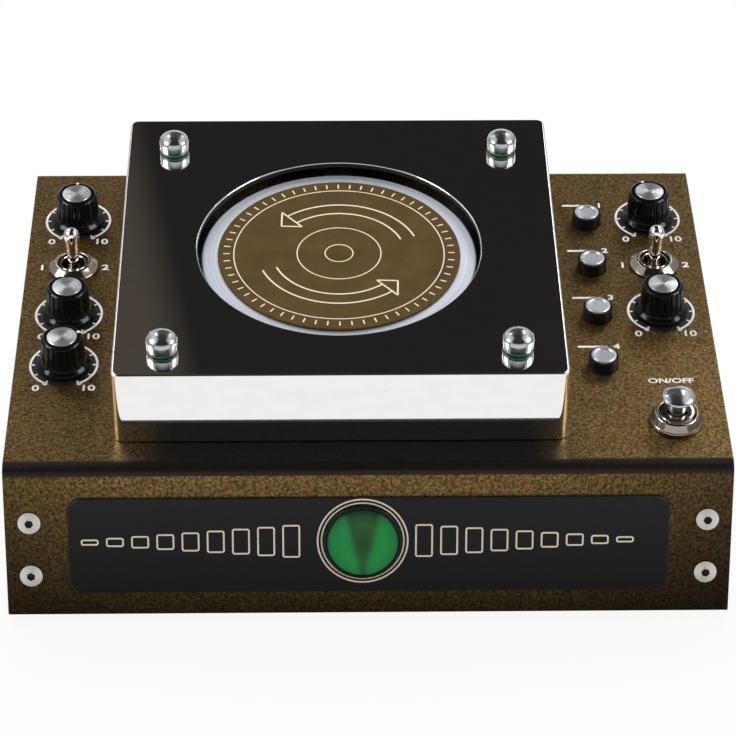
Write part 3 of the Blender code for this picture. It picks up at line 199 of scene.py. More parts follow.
# What each tone follows, where it starts and ends, and its value at both
tones = {}
for name, value, start, end, at_start, at_end, curve in (
    ("vein", veins, 0, 0.22, 0.62, 1, "LINEAR"),
    ("flake", flakes, 0.33, 0.67, 0.2, 0.94, "LINEAR"),
    ("roughness", flakes, 0, 1, 0.5, 0.36, "LINEAR"),
    ("on panel", at_z, BEND_Z - 0.1 * mm, BEND_Z + 0.1 * mm, 0, 1, "LINEAR"),
    ("near bend", at_y, FACE_Y + 3.5 * mm, FACE_Y + 2.9 * mm, 0, 1, "LINEAR"),
    ("before cover", at_y, FACE_Y + 15 * mm, FACE_Y + 12 * mm, 0, 1, "LINEAR"),
    ("along cover", aside, 80 * mm, 58 * mm, 0, 1, "SMOOTHSTEP"),
    ("on face", at_y, FACE_Y + 1.2 * mm, FACE_Y + 0.6 * mm, 0, 1, "LINEAR"),
    ("up the face", at_z, 0, FACE_TOP_Z, 0, 1, "LINEAR"),
    ("left end", at_x, -75 * mm, -120 * mm, 1, PAINTED_SHADE_LEFT_END, "LINEAR"),
    ("right end", at_x, 55 * mm, 120 * mm, 1, PAINTED_SHADE_RIGHT_END, "LINEAR"),
    ("right of panel", at_x, 55 * mm, 80 * mm, 0, 1, "SMOOTHSTEP"),
    ("front of panel", at_y, 15 * mm, -45 * mm, 0, 1, "SMOOTHSTEP"),
):
    limits = {"From Min": start, "From Max": end, "To Min": at_start, "To Max": at_end}
    tones[name] = add_node(tree, "ShaderNodeMapRange", {"Value": value, **limits}, interpolation_type=curve)

# Painted reflection and painted shadow: the bend, and the strip of panel between it and the cover, are
# painted one of two dark shades
on_bend = add_node(
    tree, "ShaderNodeMath", {0: tones["on panel"], 1: tones["near bend"]}, operation="MULTIPLY"
)
painted_shade_strip = tones["along cover"]
for share in (tones["before cover"], tones["on panel"]):
    painted_shade_strip = add_node(tree, "ShaderNodeMath", {0: painted_shade_strip, 1: share}, operation="MULTIPLY")
painted_dark_share = add_node(tree, "ShaderNodeMath", {0: painted_shade_strip, 1: on_bend}, operation="MAXIMUM")
painted_dark_share = add_node(tree, "ShaderNodeMath", {0: painted_dark_share, 1: PAINTED_SHADE_SHARE}, operation="MULTIPLY")
off_bend = add_node(tree, "ShaderNodeMath", {0: painted_shade_strip, 1: on_bend}, operation="SUBTRACT", use_clamp=True)
painted_shade_colour = add_node(
    tree, "ShaderNodeMix", {0: off_bend, 6: linear("#262422"), 7: linear("#191919")}, data_type="RGBA"
).outputs[2]

# Painted shade darkens the front face at its bottom and ends, with a little painted light at its top; painted
# light makes the panel golden beside the footswitch
rise = add_node(tree, "ShaderNodeMath", {0: tones["up the face"], 1: FACE_POWER}, operation="POWER")
face_painted_shade = add_node(tree, "ShaderNodeMapRange", {"Value": rise, "To Min": FACE_PAINTED_SHADE_LOW, "To Max": FACE_PAINTED_LIGHT_HIGH})
for share in (tones["right end"], tones["left end"]):
    face_painted_shade = add_node(tree, "ShaderNodeMath", {0: face_painted_shade, 1: share}, operation="MULTIPLY")
# Painted light: the panel is brightened to gold beside the footswitch
painted_gold_mask = tones["right of panel"]
for share in (tones["front of panel"], tones["on panel"]):
    painted_gold_mask = add_node(tree, "ShaderNodeMath", {0: painted_gold_mask, 1: share}, operation="MULTIPLY")
tone = add_node(tree, "ShaderNodeMapRange", {"Value": tones["on face"], "To Min": 1.0, "To Max": face_painted_shade})
painted_gold_light = add_node(tree, "ShaderNodeMapRange", {"Value": painted_gold_mask, "To Min": 1.0, "To Max": PAINTED_GOLD_LIGHT_LEVEL})
for share in (painted_gold_light, tones["vein"], tones["flake"]):
    tone = add_node(tree, "ShaderNodeMath", {0: tone, 1: share}, operation="MULTIPLY")
colour = add_node(tree, "ShaderNodeVectorMath", {0: metal, "Scale": tone}, operation="SCALE")
colour = add_node(tree, "ShaderNodeMix", {0: painted_dark_share, 6: colour, 7: painted_shade_colour}, data_type="RGBA").outputs[2]
height = add_node(tree, "ShaderNodeMath", {0: tones["vein"], 1: flakes}, operation="ADD")
relief = add_node(tree, "ShaderNodeBump", {"Height": height, "Strength": 0.4, "Distance": 0.05 * mm})
connect(tree, shader, {"Base Color": colour, "Roughness": tones["roughness"]})
connect(tree, shader, {"Coat Roughness": 0.3, "Normal": relief})

shell_mesh = merged_copy("top_shell", at_case_side)
flat_faced(piece("shell", shell_mesh, coat, replaces=["top_shell"]))
for hand in ("left", "right"):
    node = f"{hand}_end_plate"
    flat_faced(piece(f"{hand}_end", merged_copy(node), coat, replaces=[node]))


# Base plate, feet and base screws
# A zinc-plated steel sheet closes the case from below. Four rubber feet are pushed into it, and six
# low screws hold it to the flanges.

FEET = [(sx * 100.0 * mm, y) for sx in (-1, 1) for y in (17.0 * mm, CASE_DEPTH - 17.0 * mm)]
CORNER_NAMES = ["front_left", "back_left", "front_right", "back_right"]
BASE_SCREW_HEAD = 2.8 * mm
BASE_SCREW_RISE = 1.1 * mm
BASE_SCREW_SOCKET = 1.2 * mm
BASE_SCREW_X, BASE_SCREW_INSET = 112.0 * mm, 45.0 * mm
GRAIN_LOW, GRAIN_HIGH = 0.36, 0.64


def grained_material(name, colours, roughness, grain, relief, constants, uv=False, stretch=(1, 1, 1)):
    """A finish whose colour and roughness drift with a grain of that size, and whose surface follows it.

    On a turned piece the grain follows the piece's own UV, in turns and millimetres.
    """
    material, tree, shader = new_material(name, constants)
    source = add_node(tree, "ShaderNodeTexCoord").outputs["UV" if uv else "Object"]
    placed = add_node(tree, "ShaderNodeMapping", {"Vector": source, "Scale": stretch})
    fine, broad = (
        add_node(tree, "ShaderNodeTexNoise", {"Vector": placed, "Scale": scale, "Detail": detail})
        for scale, detail in ((1 / grain, 4.0), (0.07 / grain, 2.0))
    )
    both = add_node(tree, "ShaderNodeMath", {0: fine, 1: broad}, operation="ADD")
    half = add_node(tree, "ShaderNodeMath", {0: both, 1: 0.5}, operation="MULTIPLY")
    stops = ((GRAIN_LOW, colours[0]), (GRAIN_HIGH, colours[1]))
    colour = add_node(tree, "ShaderNodeValToRGB", {"Fac": half}, stops=stops)
    limits = {"From Min": GRAIN_LOW, "From Max": GRAIN_HIGH, "To Min": roughness[0], "To Max": roughness[1]}
    rough = add_node(tree, "ShaderNodeMapRange", {"Value": half, **limits})
    bump = add_node(tree, "ShaderNodeBump", {"Height": fine, "Strength": 0.35, "Distance": relief})
    connect(tree, shader, {"Base Color": colour, "Roughness": rough, "Normal": bump})
    if "Anisotropic" in constants:
        round_it = add_node(tree, "ShaderNodeTangent", direction_type="UV_MAP", uv_map="UVMap")
        connect(tree, shader, {"Tangent": round_it, "Anisotropic Rotation": 0.25})
    return material


def dress(material, *nodes):
    """Gives CAD pieces that keep their own shape a finished material."""
    for name in nodes:
        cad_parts[name].data.materials.clear()
        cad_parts[name].data.materials.append(material)


def eased(profile, radius, steps=3):
    """A profile with its corners rounded, as a cutter or a mould leaves them."""
    points = [Vector(p) for p in profile]
    rounded = [tuple(points[0])]
    for before, corner, after in zip(points, points[1:], points[2:]):
        into, out = before - corner, after - corner
        reach = min(radius, into.length / 2.2, out.length / 2.2)
        if reach < 0.01 * mm or into.angle(-out) < math.radians(12):  # too short or too blunt to round
            rounded.append(tuple(corner))
            continue
        start, end = corner + into.normalized() * reach, corner + out.normalized() * reach
        for k in range(steps + 1):
            t = k / steps
            rounded.append(tuple(start * (1 - t) ** 2 + corner * 2 * t * (1 - t) + end * t**2))
    rounded.append(tuple(points[-1]))
    return rounded


def outward(bm):
    """A closed shape with all its faces turned outwards."""
    bmesh.ops.recalc_face_normals(bm, faces=bm.faces)
    return bm


def turned(profile, segments, place, reach=None):
    """Mesh turned about its place's Z axis. UV is the turn from 0 to 1, and millimetres along the profile.

    The profile starts and ends on the axis, or starts and ends at one point. reach(radius, height, angle)
    gives the radius of a shape that isn't round.
    """
    bm = bmesh.new()
    uv = bm.loops.layers.uv.new("UVMap")
    run = [0.0]
    for (r0, z0), (r1, z1) in zip(profile, profile[1:]):
        run.append(run[-1] + math.hypot(r1 - r0, z1 - z0) / mm)
    rings = []
    for radius, height in profile:
        ring = []
        for k in range(segments if radius > 1e-9 else 1):
            angle = 2 * math.pi * k / segments
            out = reach(radius, height, angle) if reach else radius
            ring.append(bm.verts.new(place @ Vector((out * math.cos(angle), out * math.sin(angle), height))))
        rings.append(ring)
    for row, (upper, lower) in enumerate(zip(rings, rings[1:])):
        for k in range(segments):
            around = ((upper, k, row), (upper, k + 1, row), (lower, k + 1, row + 1), (lower, k, row + 1))
            corners = {}
            for ring, step, level in around:
                corners.setdefault(ring[step % len(ring)], (step / segments, run[level]))
            if len(corners) < 3:
                continue
            face = bm.faces.new(corners)
            for loop, coord in zip(face.loops, corners.values()):
                loop[uv].uv = coord
    bmesh.ops.remove_doubles(bm, verts=bm.verts, dist=WELD_REACH / 2)
    return outward(bm)


def dome(radius, edge, rise, steps=8):
    """Profile points of a shallow spherical cap, from its middle to its edge."""
    sphere = (radius**2 + rise**2) / (2 * rise)
    sweep = math.asin(min(1, radius / sphere))
    angles = [sweep * k / steps for k in range(steps + 1)]
    return [(sphere * math.sin(a) if a else 0.0, edge + rise - sphere * (1 - math.cos(a))) for a in angles]


def in_mm(*points):
    """Points of a profile or an outline, given in millimetres."""
    return [(u * mm, v * mm) for u, v in points]


def hexagon(socket):
    """Radius of a six-sided socket inside a round head."""
    def reach(radius, height, angle):
        if radius > socket:
            return radius
        return radius * math.cos(math.pi / 6) / math.cos(angle % (math.pi / 3) - math.pi / 6)
    return reach


# Zinc plate: pale grey crystals a few millimetres wide, almost even, with fine rolling grain.
zinc = grained_material(
    "zinc_plated_steel", ("#a6a9ac", "#c2c4c6"), (0.3, 0.42), 0.8 * mm, 0.01 * mm, {"Metallic": 1.0}
)
# Moulded rubber: dull, with fine mould grain and a little sheen of dust.
rubber = grained_material(
    "moulded_rubber", ("#161616", "#222221"), (0.7, 0.85), 0.3 * mm, 0.02 * mm, {"Specular IOR Level": 0.35}
)
# Nickel plate over turned steel: warm grey, with tool rings about the axis.
nickel = grained_material(
    "nickel_plated_steel", ("#c3c0b8", "#d8d5cd"), (0.14, 0.24), 0.5, 0.004 * mm,
    {"Metallic": 1.0, "Anisotropic": 0.4}, uv=True, stretch=(2.0, 4.0, 1.0),
)

piece("base", merged_copy("base_plate"), zinc, replaces=["base_plate"])
foot_profile = in_mm(
    (0, 3.3), (2.0, 3.3), (2.8, 1.8), (2.0, 1.7), (2.0, -0.3),
    (7.0, -0.3), (6.0, -3.0), (1.6, -3.0), (1.2, -1.6), (0, -1.6),
)
for name, (x, y) in zip(CORNER_NAMES, FEET):
    foot = turned(eased(foot_profile, 0.5 * mm), 48, case @ Matrix.Translation((x, y, 0)))
    piece(f"rubber_foot_{name}", foot, rubber, replaces=[f"foot_{name}"])


def new_tree(name, sockets):
    """Geometry node tree with named inputs, its group input node and its group output node."""
    tree = bpy.data.node_groups.new(name, "GeometryNodeTree")
    for label, kind in sockets.items():
        tree.interface.new_socket(label, in_out="INPUT", socket_type=kind)
    tree.interface.new_socket("Geometry", in_out="OUTPUT", socket_type="NodeSocketGeometry")
    return tree, tree.nodes.new("NodeGroupInput").outputs, tree.nodes.new("NodeGroupOutput")


def end_tree(tree, made, copies, material):
    """Ends a tree with real geometry, because the export drops instances, in that material."""
    realised = add_node(tree, "GeometryNodeRealizeInstances", {"Geometry": copies})
    finished = add_node(tree, "GeometryNodeSetMaterial", {"Geometry": realised, "Material": material})
    connect(tree, made, {"Geometry": finished})


def plain_mesh(obj):
    """The mesh that an object's modifiers or curve make. The object itself goes."""
    graph = bpy.context.evaluated_depsgraph_get()
    mesh = bpy.data.meshes.new_from_object(obj.evaluated_get(graph))
    bpy.data.objects.remove(obj)
    return mesh


def grown(tree, inputs, mesh=None):
    """The plain mesh that a geometry node tree makes from these inputs."""
    obj = in_scene("grown", mesh or bpy.data.meshes.new("seed"))
    modifier = obj.modifiers.new("grow", "NODES")
    modifier.node_group = tree
    for item in tree.interface.items_tree:
        if item.in_out == "INPUT" and item.name in inputs:
            modifier[item.identifier] = inputs[item.name]
    return plain_mesh(obj)


# Copies of one fastener on the points of a mesh
fasteners, given, made = new_tree(
    "fasteners_on_points",
    {
        "Points": "NodeSocketGeometry",
        "Fastener": "NodeSocketObject",
        "Size": "NodeSocketFloat",
        "Material": "NodeSocketMaterial",
    },
)
shape = add_node(fasteners, "GeometryNodeObjectInfo", {"Object": given["Fastener"]}).outputs["Geometry"]
copies = add_node(
    fasteners,
    "GeometryNodeInstanceOnPoints",
    {"Points": given["Points"], "Instance": shape, "Scale": given["Size"]},
)
end_tree(fasteners, made, copies, given["Material"])

base_screw_profile = [
    (0, -BASE_SCREW_RISE * 0.4),
    (BASE_SCREW_SOCKET, -BASE_SCREW_RISE * 0.4),
    (BASE_SCREW_SOCKET, -BASE_SCREW_RISE),
    *[
        (r, -0.05 * mm - z)
        for r, z in dome(BASE_SCREW_HEAD, 0, BASE_SCREW_RISE)
        if r > BASE_SCREW_SOCKET + 0.2 * mm
    ],
    (BASE_SCREW_HEAD, 0.1 * mm),
    (0, 0.1 * mm),
]
base_screw = turned(base_screw_profile, 36, Matrix.Identity(4), hexagon(BASE_SCREW_SOCKET + 0.1 * mm))
screw_mesh = mesh_of("base_screw", base_screw)
screw_mesh.shade_smooth()
screw_template = bpy.data.objects.new("base_screw_template", screw_mesh)  # the tree alone uses it
screw_places = bpy.data.meshes.new("base_screw_places")
columns = (-BASE_SCREW_X, 0, BASE_SCREW_X)
rows = (BASE_SCREW_INSET, CASE_DEPTH - BASE_SCREW_INSET)
screw_places.from_pydata([case @ Vector((x, y, 0)) for x in columns for y in rows], [], [])
screws = grown(fasteners, {"Fastener": screw_template, "Size": 1.0, "Material": nickel}, screw_places)
bpy.data.objects.remove(screw_template)
piece("base_screws", screws, nickel)


# Front screws
# Button-head screws with a hexagon socket, nickel plated, through the front face into the end plates.
# Each is driven home to its own angle.

SCREW_HEAD = 3.75 * mm
SCREW_RISE = 1.3 * mm
SCREW_SOCKET = 1.5 * mm
SCREW_SHANK, SCREW_LENGTH = 1.85 * mm, 7.3 * mm
SCREW_COLUMNS = {"left": -111.8 * mm, "right": 111.8 * mm}
SCREW_ROWS = {"upper": 33.4 * mm, "lower": 14.4 * mm}
SCREW_TURN = 17  # degrees further round for each millimetre of its place

screw_profile = [
    (0, 0.4 * mm),
    (SCREW_SOCKET, 0.5 * mm),
    (SCREW_SOCKET, SCREW_RISE - 0.05 * mm),
    (SCREW_SOCKET + 0.25 * mm, SCREW_RISE + 0.1 * mm),
    *[(r, z) for r, z in dome(SCREW_HEAD, 0.55 * mm, SCREW_RISE - 0.35 * mm) if r > SCREW_SOCKET + 0.4 * mm],
    (SCREW_HEAD, 0.3 * mm),
    (SCREW_SHANK, 0.3 * mm),
    (SCREW_SHANK, -SCREW_LENGTH),
    (0, -SCREW_LENGTH),
]
# Satin nickel: pale, soft reflections that keep the head's ring light all round.
satin_nickel = grained_material(
    "satin_nickel_plate", ("#cbc7bf", "#dcd8d0"), (0.36, 0.46), 0.5, 0.004 * mm, {"Metallic": 0.45}, uv=True
)
# Dull and almost black: painted shade inside the screw sockets and on the name plate's edge, and the dull
# black of the cover window's bore.
dull_black_painted_shade = grained_material(
    "dull_black_painted_shade", ("#0c0b0a", "#171513"), (0.5, 0.7), 0.5 * mm, 0.01 * mm, {"Specular IOR Level": 0.3}
)

for hand, x in SCREW_COLUMNS.items():
    for level, height in SCREW_ROWS.items():
        turn = Matrix.Rotation(math.radians(SCREW_TURN * (height + x) / mm), 4, "Z")
        place = front @ Matrix.Translation((x, height, 0)) @ turn
        screw = turned(screw_profile, 48, place, hexagon(SCREW_SOCKET + 0.05 * mm))
        to_screw = place.inverted()
        # Painted shade: the faces inside the socket are dull black
        for face in screw.faces:
            in_socket = (to_screw @ face.calc_center_median()).xy.length < SCREW_SOCKET
            face.material_index = 1 if in_socket else 0
        materials = [satin_nickel, dull_black_painted_shade]
        node = f"shell_screw_{hand}_{level}"
        piece(f"front_screw_{hand}_{level}", screw, materials, replaces=[node])


# Name plate
# Aluminium plate 1 mm thick, satin black anodised, bonded to the front face. Its print is a plain row
# of echo bars each side of the lamp, which die away like repeats, and two rings round the lamp.

PLATE_WIDTH = 198.2 * mm
PLATE_HEIGHT = 33.65 * mm
PLATE_CORNER = 4.3 * mm
PLATE_EDGE = 0.45 * mm
PLATE_CENTRE_HEIGHT = 25.2 * mm
PLATE_LOW, PLATE_FACE = 0.3 * mm, 1.3 * mm
PLATE_HOLE = 11.9 * mm
PLATE_DARK_Z, PLATE_BRIGHT_Z = 11 * mm, 44 * mm
OUTLINE_PITCH = 4 * mm
LAMP = Vector((-2.05 * mm, 26.8 * mm, 0))
INK = 0.04 * mm
BAR_HEIGHT = 11.8 * mm
BAR_WIDTH = 5.9 * mm
BAR_PITCH = 8.3 * mm
BAR_STROKE = 0.56 * mm
BAR_CORNER, BAR_INNER_CORNER = 0.9 * mm, 0.35 * mm
BAR_COUNT = 9
BAR_STARTS = ((-1, -25.6 * mm), (1, 18.2 * mm))
LAMP_RINGS = ((15.15 * mm, 14.6 * mm), (13.85 * mm, 13.35 * mm))


def rounded_outline(centre, width, height, corner, steps=8):
    """Points round a rectangle with rounded corners, anticlockwise."""
    points = []
    for quarter, (sx, sy) in enumerate(((1, 1), (-1, 1), (-1, -1), (1, -1))):
        middle = Vector((centre[0] + sx * (width / 2 - corner), centre[1] + sy * (height / 2 - corner)))
        for k in range(steps + 1):
            angle = (quarter + k / steps) * math.pi / 2
            points.append(middle + corner * Vector((math.cos(angle), math.sin(angle))))
    return points


def circle_outline(centre, radius, steps=96):
    """Points round a circle, anticlockwise."""
    turns = [2 * math.pi * k / steps for k in range(steps)]
    return [Vector((centre[0] + radius * math.cos(a), centre[1] + radius * math.sin(a))) for a in turns]


def closed_band(bm, levels, place):
    """Faces that join outlines of as many points, each at its height, and the last one to the first."""
    loops = [[bm.verts.new(place @ Vector((*p, z))) for p in outline] for outline, z in levels]
    count = len(loops[0])
    for one, two in zip(loops, loops[1:] + loops[:1]):
        for k in range(count):
            after = (k + 1) % count
            bm.faces.new((one[k], one[after], two[after], two[k]))


def strip_between(bm, outer, inner, low, high, place):
    """A raised stroke between two outlines of as many points."""
    closed_band(bm, ((outer, low), (outer, high), (inner, high), (inner, low)), place)


def plate_with_hole(outline, centre, hole_radius, low, high, place, edge):
    """A plate with a broken top edge and a round hole, joined to its outline by rays from the hole."""
    bm = bmesh.new()
    inner = [centre + (point - centre).normalized() * hole_radius for point in outline]
    count = len(outline)
    tangents = [(outline[(k + 1) % count] - outline[k - 1]).normalized() for k in range(count)]
    drawn_in = [p - Vector((t.y, -t.x)) * edge for p, t in zip(outline, tangents)]
    levels = ((inner, low), (outline, low), (outline, high - edge), (drawn_in, high), (inner, high))
    closed_band(bm, levels, place)
    return outward(bm)


# Black anodised aluminium: near black, satin, with the rolling grain of the sheet along its length.
anodised = grained_material(
    "black_anodised_aluminium", ("#161719", "#1b1c1f"), (0.42, 0.5), 0.35 * mm, 0.004 * mm,
    {"Specular IOR Level": 0.15}, stretch=(0.12, 1.0, 1.0),
)
# It darkens towards its lower edge, where it turns from the light
tree = anodised.node_tree
shader = tree.nodes["Principled BSDF"]
coords = add_node(tree, "ShaderNodeTexCoord").outputs["Object"]
at_z = add_node(tree, "ShaderNodeSeparateXYZ", {0: coords}).outputs[2]
limits = {"From Min": PLATE_DARK_Z, "From Max": PLATE_BRIGHT_Z, "To Min": 0.1, "To Max": 1.06}
tone = add_node(tree, "ShaderNodeMapRange", {"Value": at_z, **limits})
black = shader.inputs["Base Color"].links[0].from_socket
graded = add_node(tree, "ShaderNodeVectorMath", {0: black, "Scale": tone}, operation="SCALE")
connect(tree, shader, {"Base Color": graded})
# Cream screen ink: flat and slightly rough, warm, with the small pinholes of a screened print.
cream_ink = grained_material(
    "cream_screen_ink", ("#dccab0", "#eadbc3"), (0.5, 0.6), 0.4 * mm, 0.004 * mm, {"Specular IOR Level": 0.3}
)

corners_of_plate = rounded_outline((0, PLATE_CENTRE_HEIGHT), PLATE_WIDTH, PLATE_HEIGHT, PLATE_CORNER, 12)
plate_outline = []
for a, b in zip(corners_of_plate, corners_of_plate[1:] + corners_of_plate[:1]):
    cuts = max(1, int((b - a).length / OUTLINE_PITCH))
    plate_outline += [a.lerp(b, k / cuts) for k in range(cuts)]
plate = plate_with_hole(plate_outline, LAMP.xy, PLATE_HOLE, PLATE_LOW, PLATE_FACE, front, PLATE_EDGE)
# The face is anodised; the edge is dull black, painted shade round the plate
for face in plate.faces:
    face.material_index = 0 if face.normal.y < -0.99 else 1
flat_faced(piece("front_plate", plate, [anodised, dull_black_painted_shade], replaces=["name_plate"]))

plate_print = bmesh.new()
for direction, start in BAR_STARTS:
    for k in range(BAR_COUNT):
        centre = (start + direction * k * BAR_PITCH, LAMP.y)
        tall = BAR_HEIGHT * (1 - k / (BAR_COUNT + 1.2)) ** 1.1
        outer = rounded_outline(centre, BAR_WIDTH, tall, BAR_CORNER)
        inside = (BAR_WIDTH - 2 * BAR_STROKE, tall - 2 * BAR_STROKE)
        inner = rounded_outline(centre, *inside, BAR_INNER_CORNER)
        strip_between(plate_print, outer, inner, PLATE_FACE, PLATE_FACE + INK, front)
for radii in LAMP_RINGS:
    outer, inner = (circle_outline(LAMP, r) for r in radii)
    strip_between(plate_print, outer, inner, PLATE_FACE, PLATE_FACE + INK, front)
piece("front_plate_print", outward(plate_print), cream_ink)


# Level lamp
# A green glass eye in a moulded black holder, whose tube passes the front face. The glass is slightly
# domed, lit from behind by the lamp board, and shows the tuning wedge of a level indicator.

LENS_RADIUS = 11.75 * mm
LENS_BACK, LENS_EDGE, LENS_RISE = 2.5 * mm, 2.9 * mm, 0.9 * mm
LENS_ROUND = 0.1 * mm
WEDGE_SLOPE, WEDGE_HALF = 0.24, 0.30  # shares of the lens's radius
lamp = front @ Matrix.Translation(LAMP)

holder_profile = in_mm(
    (0, -18.4), (10.2, -18.4), (10.2, 2.2), (12.05, 2.2), (12.05, 3.0),
    (13.0, 2.75), (13.0, 1.6), (11.6, 1.6), (11.6, -20.0), (0, -20.0),
)
# Moulded black ABS: deep black, glossy, with a faint orange-peel.
black_abs = grained_material(
    "moulded_black_abs", ("#0d0d0e", "#131315"), (0.24, 0.34), 0.9 * mm, 0.006 * mm,
    {"Specular IOR Level": 0.18},
)
holder = turned(eased(holder_profile, 0.25 * mm), 96, lamp)
piece("lamp_ring", holder, black_abs, replaces=["lamp_holder"])

# Green glass eye: lit green sides, a darker wedge that opens upwards, and a deeper green rim.
glass, tree, shader = new_material(
    "green_glass_eye", {"Roughness": 0.2, "Specular IOR Level": 0.08, "Emission Strength": 0.95}
)
flat = add_node(tree, "ShaderNodeUVMap", uv_map="across")
axes = add_node(tree, "ShaderNodeSeparateXYZ", {0: flat}).outputs
aside = add_node(tree, "ShaderNodeMath", {0: axes[0]}, operation="ABSOLUTE")
half_wedge = add_node(
    tree, "ShaderNodeMath", {0: axes[1], 1: WEDGE_SLOPE, 2: WEDGE_HALF}, operation="MULTIPLY_ADD"
)
inside = add_node(tree, "ShaderNodeMath", {0: half_wedge, 1: aside}, operation="SUBTRACT")
limits = {"From Min": -0.12, "From Max": 0.15}
wedge = add_node(tree, "ShaderNodeMapRange", {"Value": inside, **limits}, interpolation_type="SMOOTHSTEP")
off_middle = add_node(tree, "ShaderNodeVectorMath", {0: flat}, operation="LENGTH").outputs["Value"]
lit_sides, dim_wedge = (
    add_node(tree, "ShaderNodeValToRGB", {"Fac": off_middle}, stops=stops)
    for stops in (
        ((0.0, "#1b7437"), (0.62, "#1e7c3d"), (0.93, "#1a6d35"), (1.0, "#103d1f")),
        ((0.0, "#1e3f22"), (0.6, "#27512d"), (0.85, "#1e3f24"), (1.0, "#0a1d10")),
    )
)
glow = add_node(tree, "ShaderNodeMix", {0: wedge, 6: lit_sides, 7: dim_wedge}, data_type="RGBA").outputs[2]
connect(tree, shader, {"Base Color": linear("#06180c"), "Emission Color": glow})
lens_profile = [
    *dome(LENS_RADIUS - LENS_ROUND, LENS_EDGE + LENS_ROUND, LENS_RISE, 12),
    (LENS_RADIUS, LENS_EDGE),
    (LENS_RADIUS, LENS_BACK),
    (0, LENS_BACK),
]
lens = turned(lens_profile, 96, lamp)
across = lens.loops.layers.uv.new("across")
to_lamp = lamp.inverted()
for face in lens.faces:
    for loop in face.loops:
        loop[across].uv = (to_lamp @ loop.vert.co).xy / LENS_RADIUS
piece("lamp_eye", lens, glass, replaces=["lamp_lens"])


# Deck, motor, heads and spindle
# Under the cover a cast deck plate carries the drum's bearing, the studs, six tape heads in
# folded cans and the motor, whose rubber-tyred wheel drives the drum from inside.

# Cast aluminium, machined on top: light grey, with the sand grain of the casting.
cast = grained_material(
    "cast_aluminium", ("#8f9296", "#a9acaf"), (0.45, 0.6), 0.6 * mm, 0.03 * mm, {"Metallic": 1.0}
)
# Drawn nickel-iron head can: warm grey, ground across its face.
head_can = grained_material(
    "drawn_head_can", ("#96928a", "#b0aca2"), (0.3, 0.4), 0.25 * mm, 0.006 * mm,
    {"Metallic": 1.0}, stretch=(1, 1, 0.15),
)
dress(cast, "deck_plate")
dress(zinc, "drive_motor", "drum_spindle")
dress(head_can, "erase_head", "record_head", *(f"playback_head_{k}" for k in (1, 2, 3, 4)))
dress(rubber, "drive_wheel")


# Drum and its label
# An inverted cup turned from aluminium. Its outer wall carries the magnetic track, and its rim shows
# the fine circles of the lathe. A bronze foil label on top has plain strobe marks and turning arrows.

DRUM_X, DRUM_Y = -9.15 * mm, 82.0 * mm
DRUM_RADIUS = 47.2 * mm
DRUM_TOP = 24.0 * mm
DRUM_LOW, DRUM_WEB = 8.0 * mm, 21.0 * mm
DRUM_BORE, BEARING_BORE = 42.5 * mm, 3.3 * mm
LABEL_RADIUS = 41.6 * mm
LABEL_LOW, LABEL_TOP = DRUM_TOP + 0.3 * mm, DRUM_TOP + 1.1 * mm
STROBE_MARKS = 60
STROBE_RADIUS = 38.6 * mm
STROBE_LENGTH, STROBE_WIDTH = 2.2 * mm, 0.5 * mm
LABEL_RINGS = in_mm((36.3, 35.9), (14.6, 14.2), (5.0, 4.6))
ARROW_ARCS = in_mm((28.0, 27.4), (23.0, 22.4))
ARROW_STARTS, ARROW_SWEEP, ARROW_TIP = (20, 200), 110, 122
ARROW_OUTER, ARROW_MIDDLE, ARROW_INNER = 30.6 * mm, 25.2 * mm, 19.8 * mm
ARROW_STROKE = 0.6 * mm
drum_axis = panel @ Matrix.Translation((DRUM_X, DRUM_Y, 0))

drum_profile = [
    (0, DRUM_TOP),
    (DRUM_RADIUS - 0.4 * mm, DRUM_TOP),
    (DRUM_RADIUS, DRUM_TOP - 0.4 * mm),
    (DRUM_RADIUS, DRUM_LOW),
    (DRUM_BORE, DRUM_LOW),
    (DRUM_BORE, DRUM_WEB),
    (8.0 * mm, DRUM_WEB),
    (8.0 * mm, 9.7 * mm),
    (BEARING_BORE, 9.7 * mm),
    (BEARING_BORE, DRUM_WEB + 0.6 * mm),
    (0, DRUM_WEB + 0.6 * mm),
]
# Turned aluminium: pale blue grey, with lathe circles that draw the highlight across the rim.
turned_aluminium = grained_material(
    "turned_aluminium", ("#b9c0cc", "#dde2e9"), (0.42, 0.5), 0.45, 0.004 * mm,
    {"Metallic": 0.6, "Anisotropic": 0.5}, uv=True, stretch=(0.6, 0.6, 1.0),
)
# Printed bronze foil: brown metal under a matt lacquer, with a very fine tooth.
foil = grained_material(
    "bronze_printed_foil", ("#493815", "#5a4520"), (0.5, 0.62), 0.5 * mm, 0.01 * mm,
    {"Metallic": 0.25, "Specular IOR Level": 0.1},
)
cup = turned(eased(drum_profile, 0.3 * mm), 128, drum_axis)
piece("drum_cup", cup, turned_aluminium, "drum", ["drum"])
label_profile = [
    (0, LABEL_TOP),
    (LABEL_RADIUS - 0.3 * mm, LABEL_TOP),
    (LABEL_RADIUS, LABEL_TOP - 0.2 * mm),
    (LABEL_RADIUS, LABEL_LOW),
    (0, LABEL_LOW),
]
piece("drum_foil", turned(label_profile, 128, drum_axis), foil, "drum", ["drum_label"])

